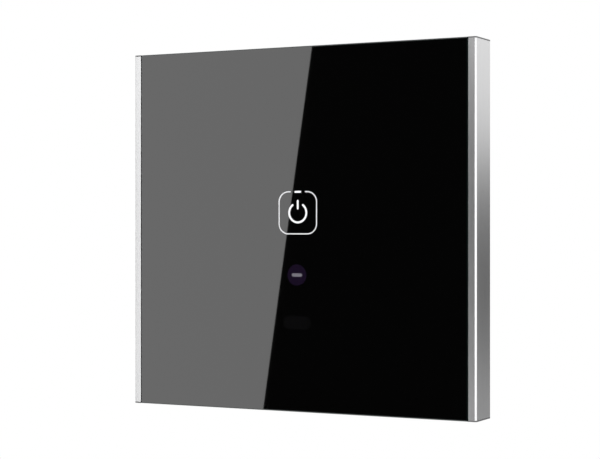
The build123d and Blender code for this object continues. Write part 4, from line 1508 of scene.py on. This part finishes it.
@dataclass
class Studio:
    """The white room: its world, floor, lamps and cards, and the camera. Places are in metres.

    The front cards stand in one plane. Their edges are placed by where they show in the glass: at
    its two ends, and along the slanted edge of the soft light, which crosses the glass's middle
    height at slant_x and leans by slant for each metre up.
    """

    lens: float = 98.36
    sensor: float = 36.0
    nearest: float = 0.01
    camera_place: Point = (0.1775, -0.35145, -0.00008)
    camera_turn: float = 27.277
    ambient: float = 0.55
    floor_z: float = -0.30
    floor_half: float = 2.0
    floor_tone: Colour = (0.93, 0.93, 0.93)
    floor_fade: Span = (0.35, 0.8)
    lamp_size: float = 0.35
    key_place: Point = (-0.35, -0.5, 0.45)
    key_power: float = 3.6
    rear_place: Point = (0.3, 0.6, 0.4)
    rear_power: float = 2.2
    card_y: float = -0.30
    card_rows: Span = (-0.061, 0.066)
    glass_ends: Span = (-0.0437, 0.0435)
    slant_x: float = -0.00236
    slant: float = 0.1519
    flag_ends: Span = (-0.9, 0.15)
    flag_top: float = 0.2
    card_off_floor: float = 0.005
    softbox_glow: Glow = ((0.0, 2.46),)
    front_glow: Glow = ((-0.112, 0.9), (-0.082, 0.0), (0.082, 0.0), (0.112, 1.3))
    rail_glow: Glow = (
        (-0.112, 0.7), (-0.085, 0.35), (-0.064, 1.15), (-0.048, 0.0), (0.05, 0.0), (0.112, 1.2),
    )
    foot_glow: float = 0.9
    left_glow: Glow = (
        (-0.12, 0.6), (-0.09, 0.72), (-0.062, 1.0), (-0.04, 0.34), (0.0, 0.38), (0.04, 0.42), (0.09, 0.9),
    )
    side_card: tuple[Span, Span] = ((0.36, -0.22), (0.40, -0.06))
    side_rows: Span = (-0.12, 0.12)
    side_glow: Glow = ((0.0, 2.0),)
    rear_card: tuple[Span, Span] = ((0.0, 0.30), (0.42, 0.30))
    rear_rows: Span = (-0.25, 0.2)
    rear_glow: Glow = (
        (-0.075, 0.41), (-0.045, 0.18), (-0.02, 0.08), (0.012, 0.17), (0.047, 1.02), (0.08, 1.12),
    )

    def reflected(self, x: float, z: float) -> Point:
        """Find where the camera sees the front cards in the glass.

        Args:
            x: the glass's point to the right of its middle, in metres.
            z: the same point's height, in metres.

        Returns:
            The point of the cards' plane that shows there.
        """
        glass_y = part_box("glass_panel")[0].y
        behind = 2 * glass_y - self.camera_place[1]
        reach = (behind - self.card_y) / (behind - glass_y)
        return (self.camera_place[0] + (x - self.camera_place[0]) * reach, self.card_y, z * reach)

    @staticmethod
    def upright(one: Span, other: Span, rows: Span) -> tuple[Point, ...]:
        """Return the corners of an upright card, from its X and Y at both sides and its two heights."""
        bottom, top = rows
        return ((*one, bottom), (*other, bottom), (*other, top), (*one, top))

    def cards(self) -> list[Card]:
        """Lay out the cards whose reflections shape the glass and the rails.

        Returns:
            The cards.
        """
        edge_low, edge_high = (self.reflected(self.slant_x + self.slant * z, z) for z in self.card_rows)
        left, right = ((self.reflected(x, 0.0)[0], self.card_y) for x in self.glass_ends)
        far_left, far_right = ((x, self.card_y) for x in self.flag_ends)
        rows = (edge_low[2], edge_high[2])
        low_left, low_right, high_right, high_left = self.upright(left, right, rows)
        foot = self.floor_z + self.card_off_floor
        fall = ((foot, self.foot_glow), *self.left_glow)
        return [
            Card("left_softbox", (low_left, edge_low, edge_high, high_left), self.softbox_glow),
            Card("front_flag", (edge_low, low_right, high_right, edge_high), self.front_glow),
            Card("rail_flag", self.upright(right, far_right, rows), self.rail_glow),
            Card("left_flag", self.upright(far_left, left, (foot, self.flag_top)), fall),
            Card("lower_flag", self.upright(left, far_right, (foot, rows[0])), fall[:2]),
            Card("right_softbox", self.upright(*self.side_card, self.side_rows), self.side_glow),
            Card("rear_card", self.upright(*self.rear_card, self.rear_rows), self.rear_glow),
        ]

    def world(self) -> None:
        """Make the world white to the camera and in reflections, and an even soft light elsewhere."""
        world = bpy.data.worlds.new("white_room")
        bpy.context.scene.world = world
        nodes = Nodes(world)
        seen = nodes.add("ShaderNodeLightPath", {}, {}, "Is Camera Ray")
        direct = seen.larger(seen.out("Is Glossy Ray")).larger(seen.out("Is Transmission Ray"))
        strength = self.ambient + direct * (1.0 - self.ambient)
        sky = nodes.add("ShaderNodeBackground", {}, {"Color": WHITE, "Strength": strength})
        nodes.add("ShaderNodeOutputWorld", {}, {"Surface": sky})

    def floor(self) -> None:
        """Lay a pale floor that keeps the shadow and fades into the white room."""
        bpy.ops.object.select_all(action="DESELECT")
        bpy.ops.mesh.primitive_plane_add(size=2 * self.floor_half, location=(0.0, 0.0, self.floor_z))
        floor = bpy.context.active_object
        floor.name = "floor"
        bpy.ops.object.transform_apply(location=True, rotation=True, scale=True)
        made = bpy.data.materials.new("floor_paint")
        nodes = Nodes(made)
        x, y, _ = nodes.axes()
        far = x.length(y).ease(*self.floor_fade)
        matt = nodes.add("ShaderNodeBsdfDiffuse", {}, {"Color": self.floor_tone})
        white = nodes.add("ShaderNodeEmission", {}, {"Color": WHITE, "Strength": 1.0})
        both = nodes.add("ShaderNodeMixShader", {}, {0: far, 1: matt, 2: white})
        nodes.add("ShaderNodeOutputMaterial", {}, {"Surface": both})
        floor.data.materials.append(made)

    def lamp(self, name: str, place: Point, power: float) -> None:
        """Hang a soft lamp that points at the switch.

        Args:
            name: the lamp's name.
            place: where it hangs, in metres.
            power: its power, in watts.
        """
        light = bpy.data.lights.new(name, "AREA")
        light.size, light.energy = self.lamp_size, power
        lamp = put(name, light)
        lamp.location = place
        lamp.rotation_euler = (-Vector(place)).to_track_quat("-Z", "Y").to_euler()
        lamp.visible_glossy = False

    def camera(self) -> None:
        """Set the camera where the photograph was taken from."""
        data = bpy.data.cameras.new("view")
        data.lens, data.sensor_width, data.clip_start = self.lens, self.sensor, self.nearest
        camera = put("view", data)
        camera.location = self.camera_place
        camera.rotation_euler = (math.pi / 2, 0.0, math.radians(self.camera_turn))
        bpy.context.scene.camera = camera

    def build(self) -> None:
        """Make the room, hang its lamps and cards, and set the camera."""
        bpy.context.scene.view_settings.view_transform = "Standard"
        self.world()
        self.floor()
        self.lamp("key_lamp_light", self.key_place, self.key_power)
        self.lamp("rear_lamp_light", self.rear_place, self.rear_power)
        for card in self.cards():
            card.build()
            LOG.info("studio: %s", card.name)
        self.camera()


def main() -> None:
    """Build every sub-assembly of the switch and its studio, in order."""
    logging.basicConfig(level=logging.INFO, format="%(name)s: %(message)s")
    assemblies: tuple[Assembly, ...] = (
        GlassFront(), SideRails(), PanelTray(), WallFrame(), RearBox(), Terminals(),
        TouchElectronics(), PowerElectronics(), Relay(),
    )
    for assembly in assemblies:
        for piece in (*assembly.build(), *assembly.dress()):
            LOG.info("%s: %s, %s", assembly.title, piece.name, piece.active_material.name)
    Studio().build()


if __name__ == "__main__":
    main()
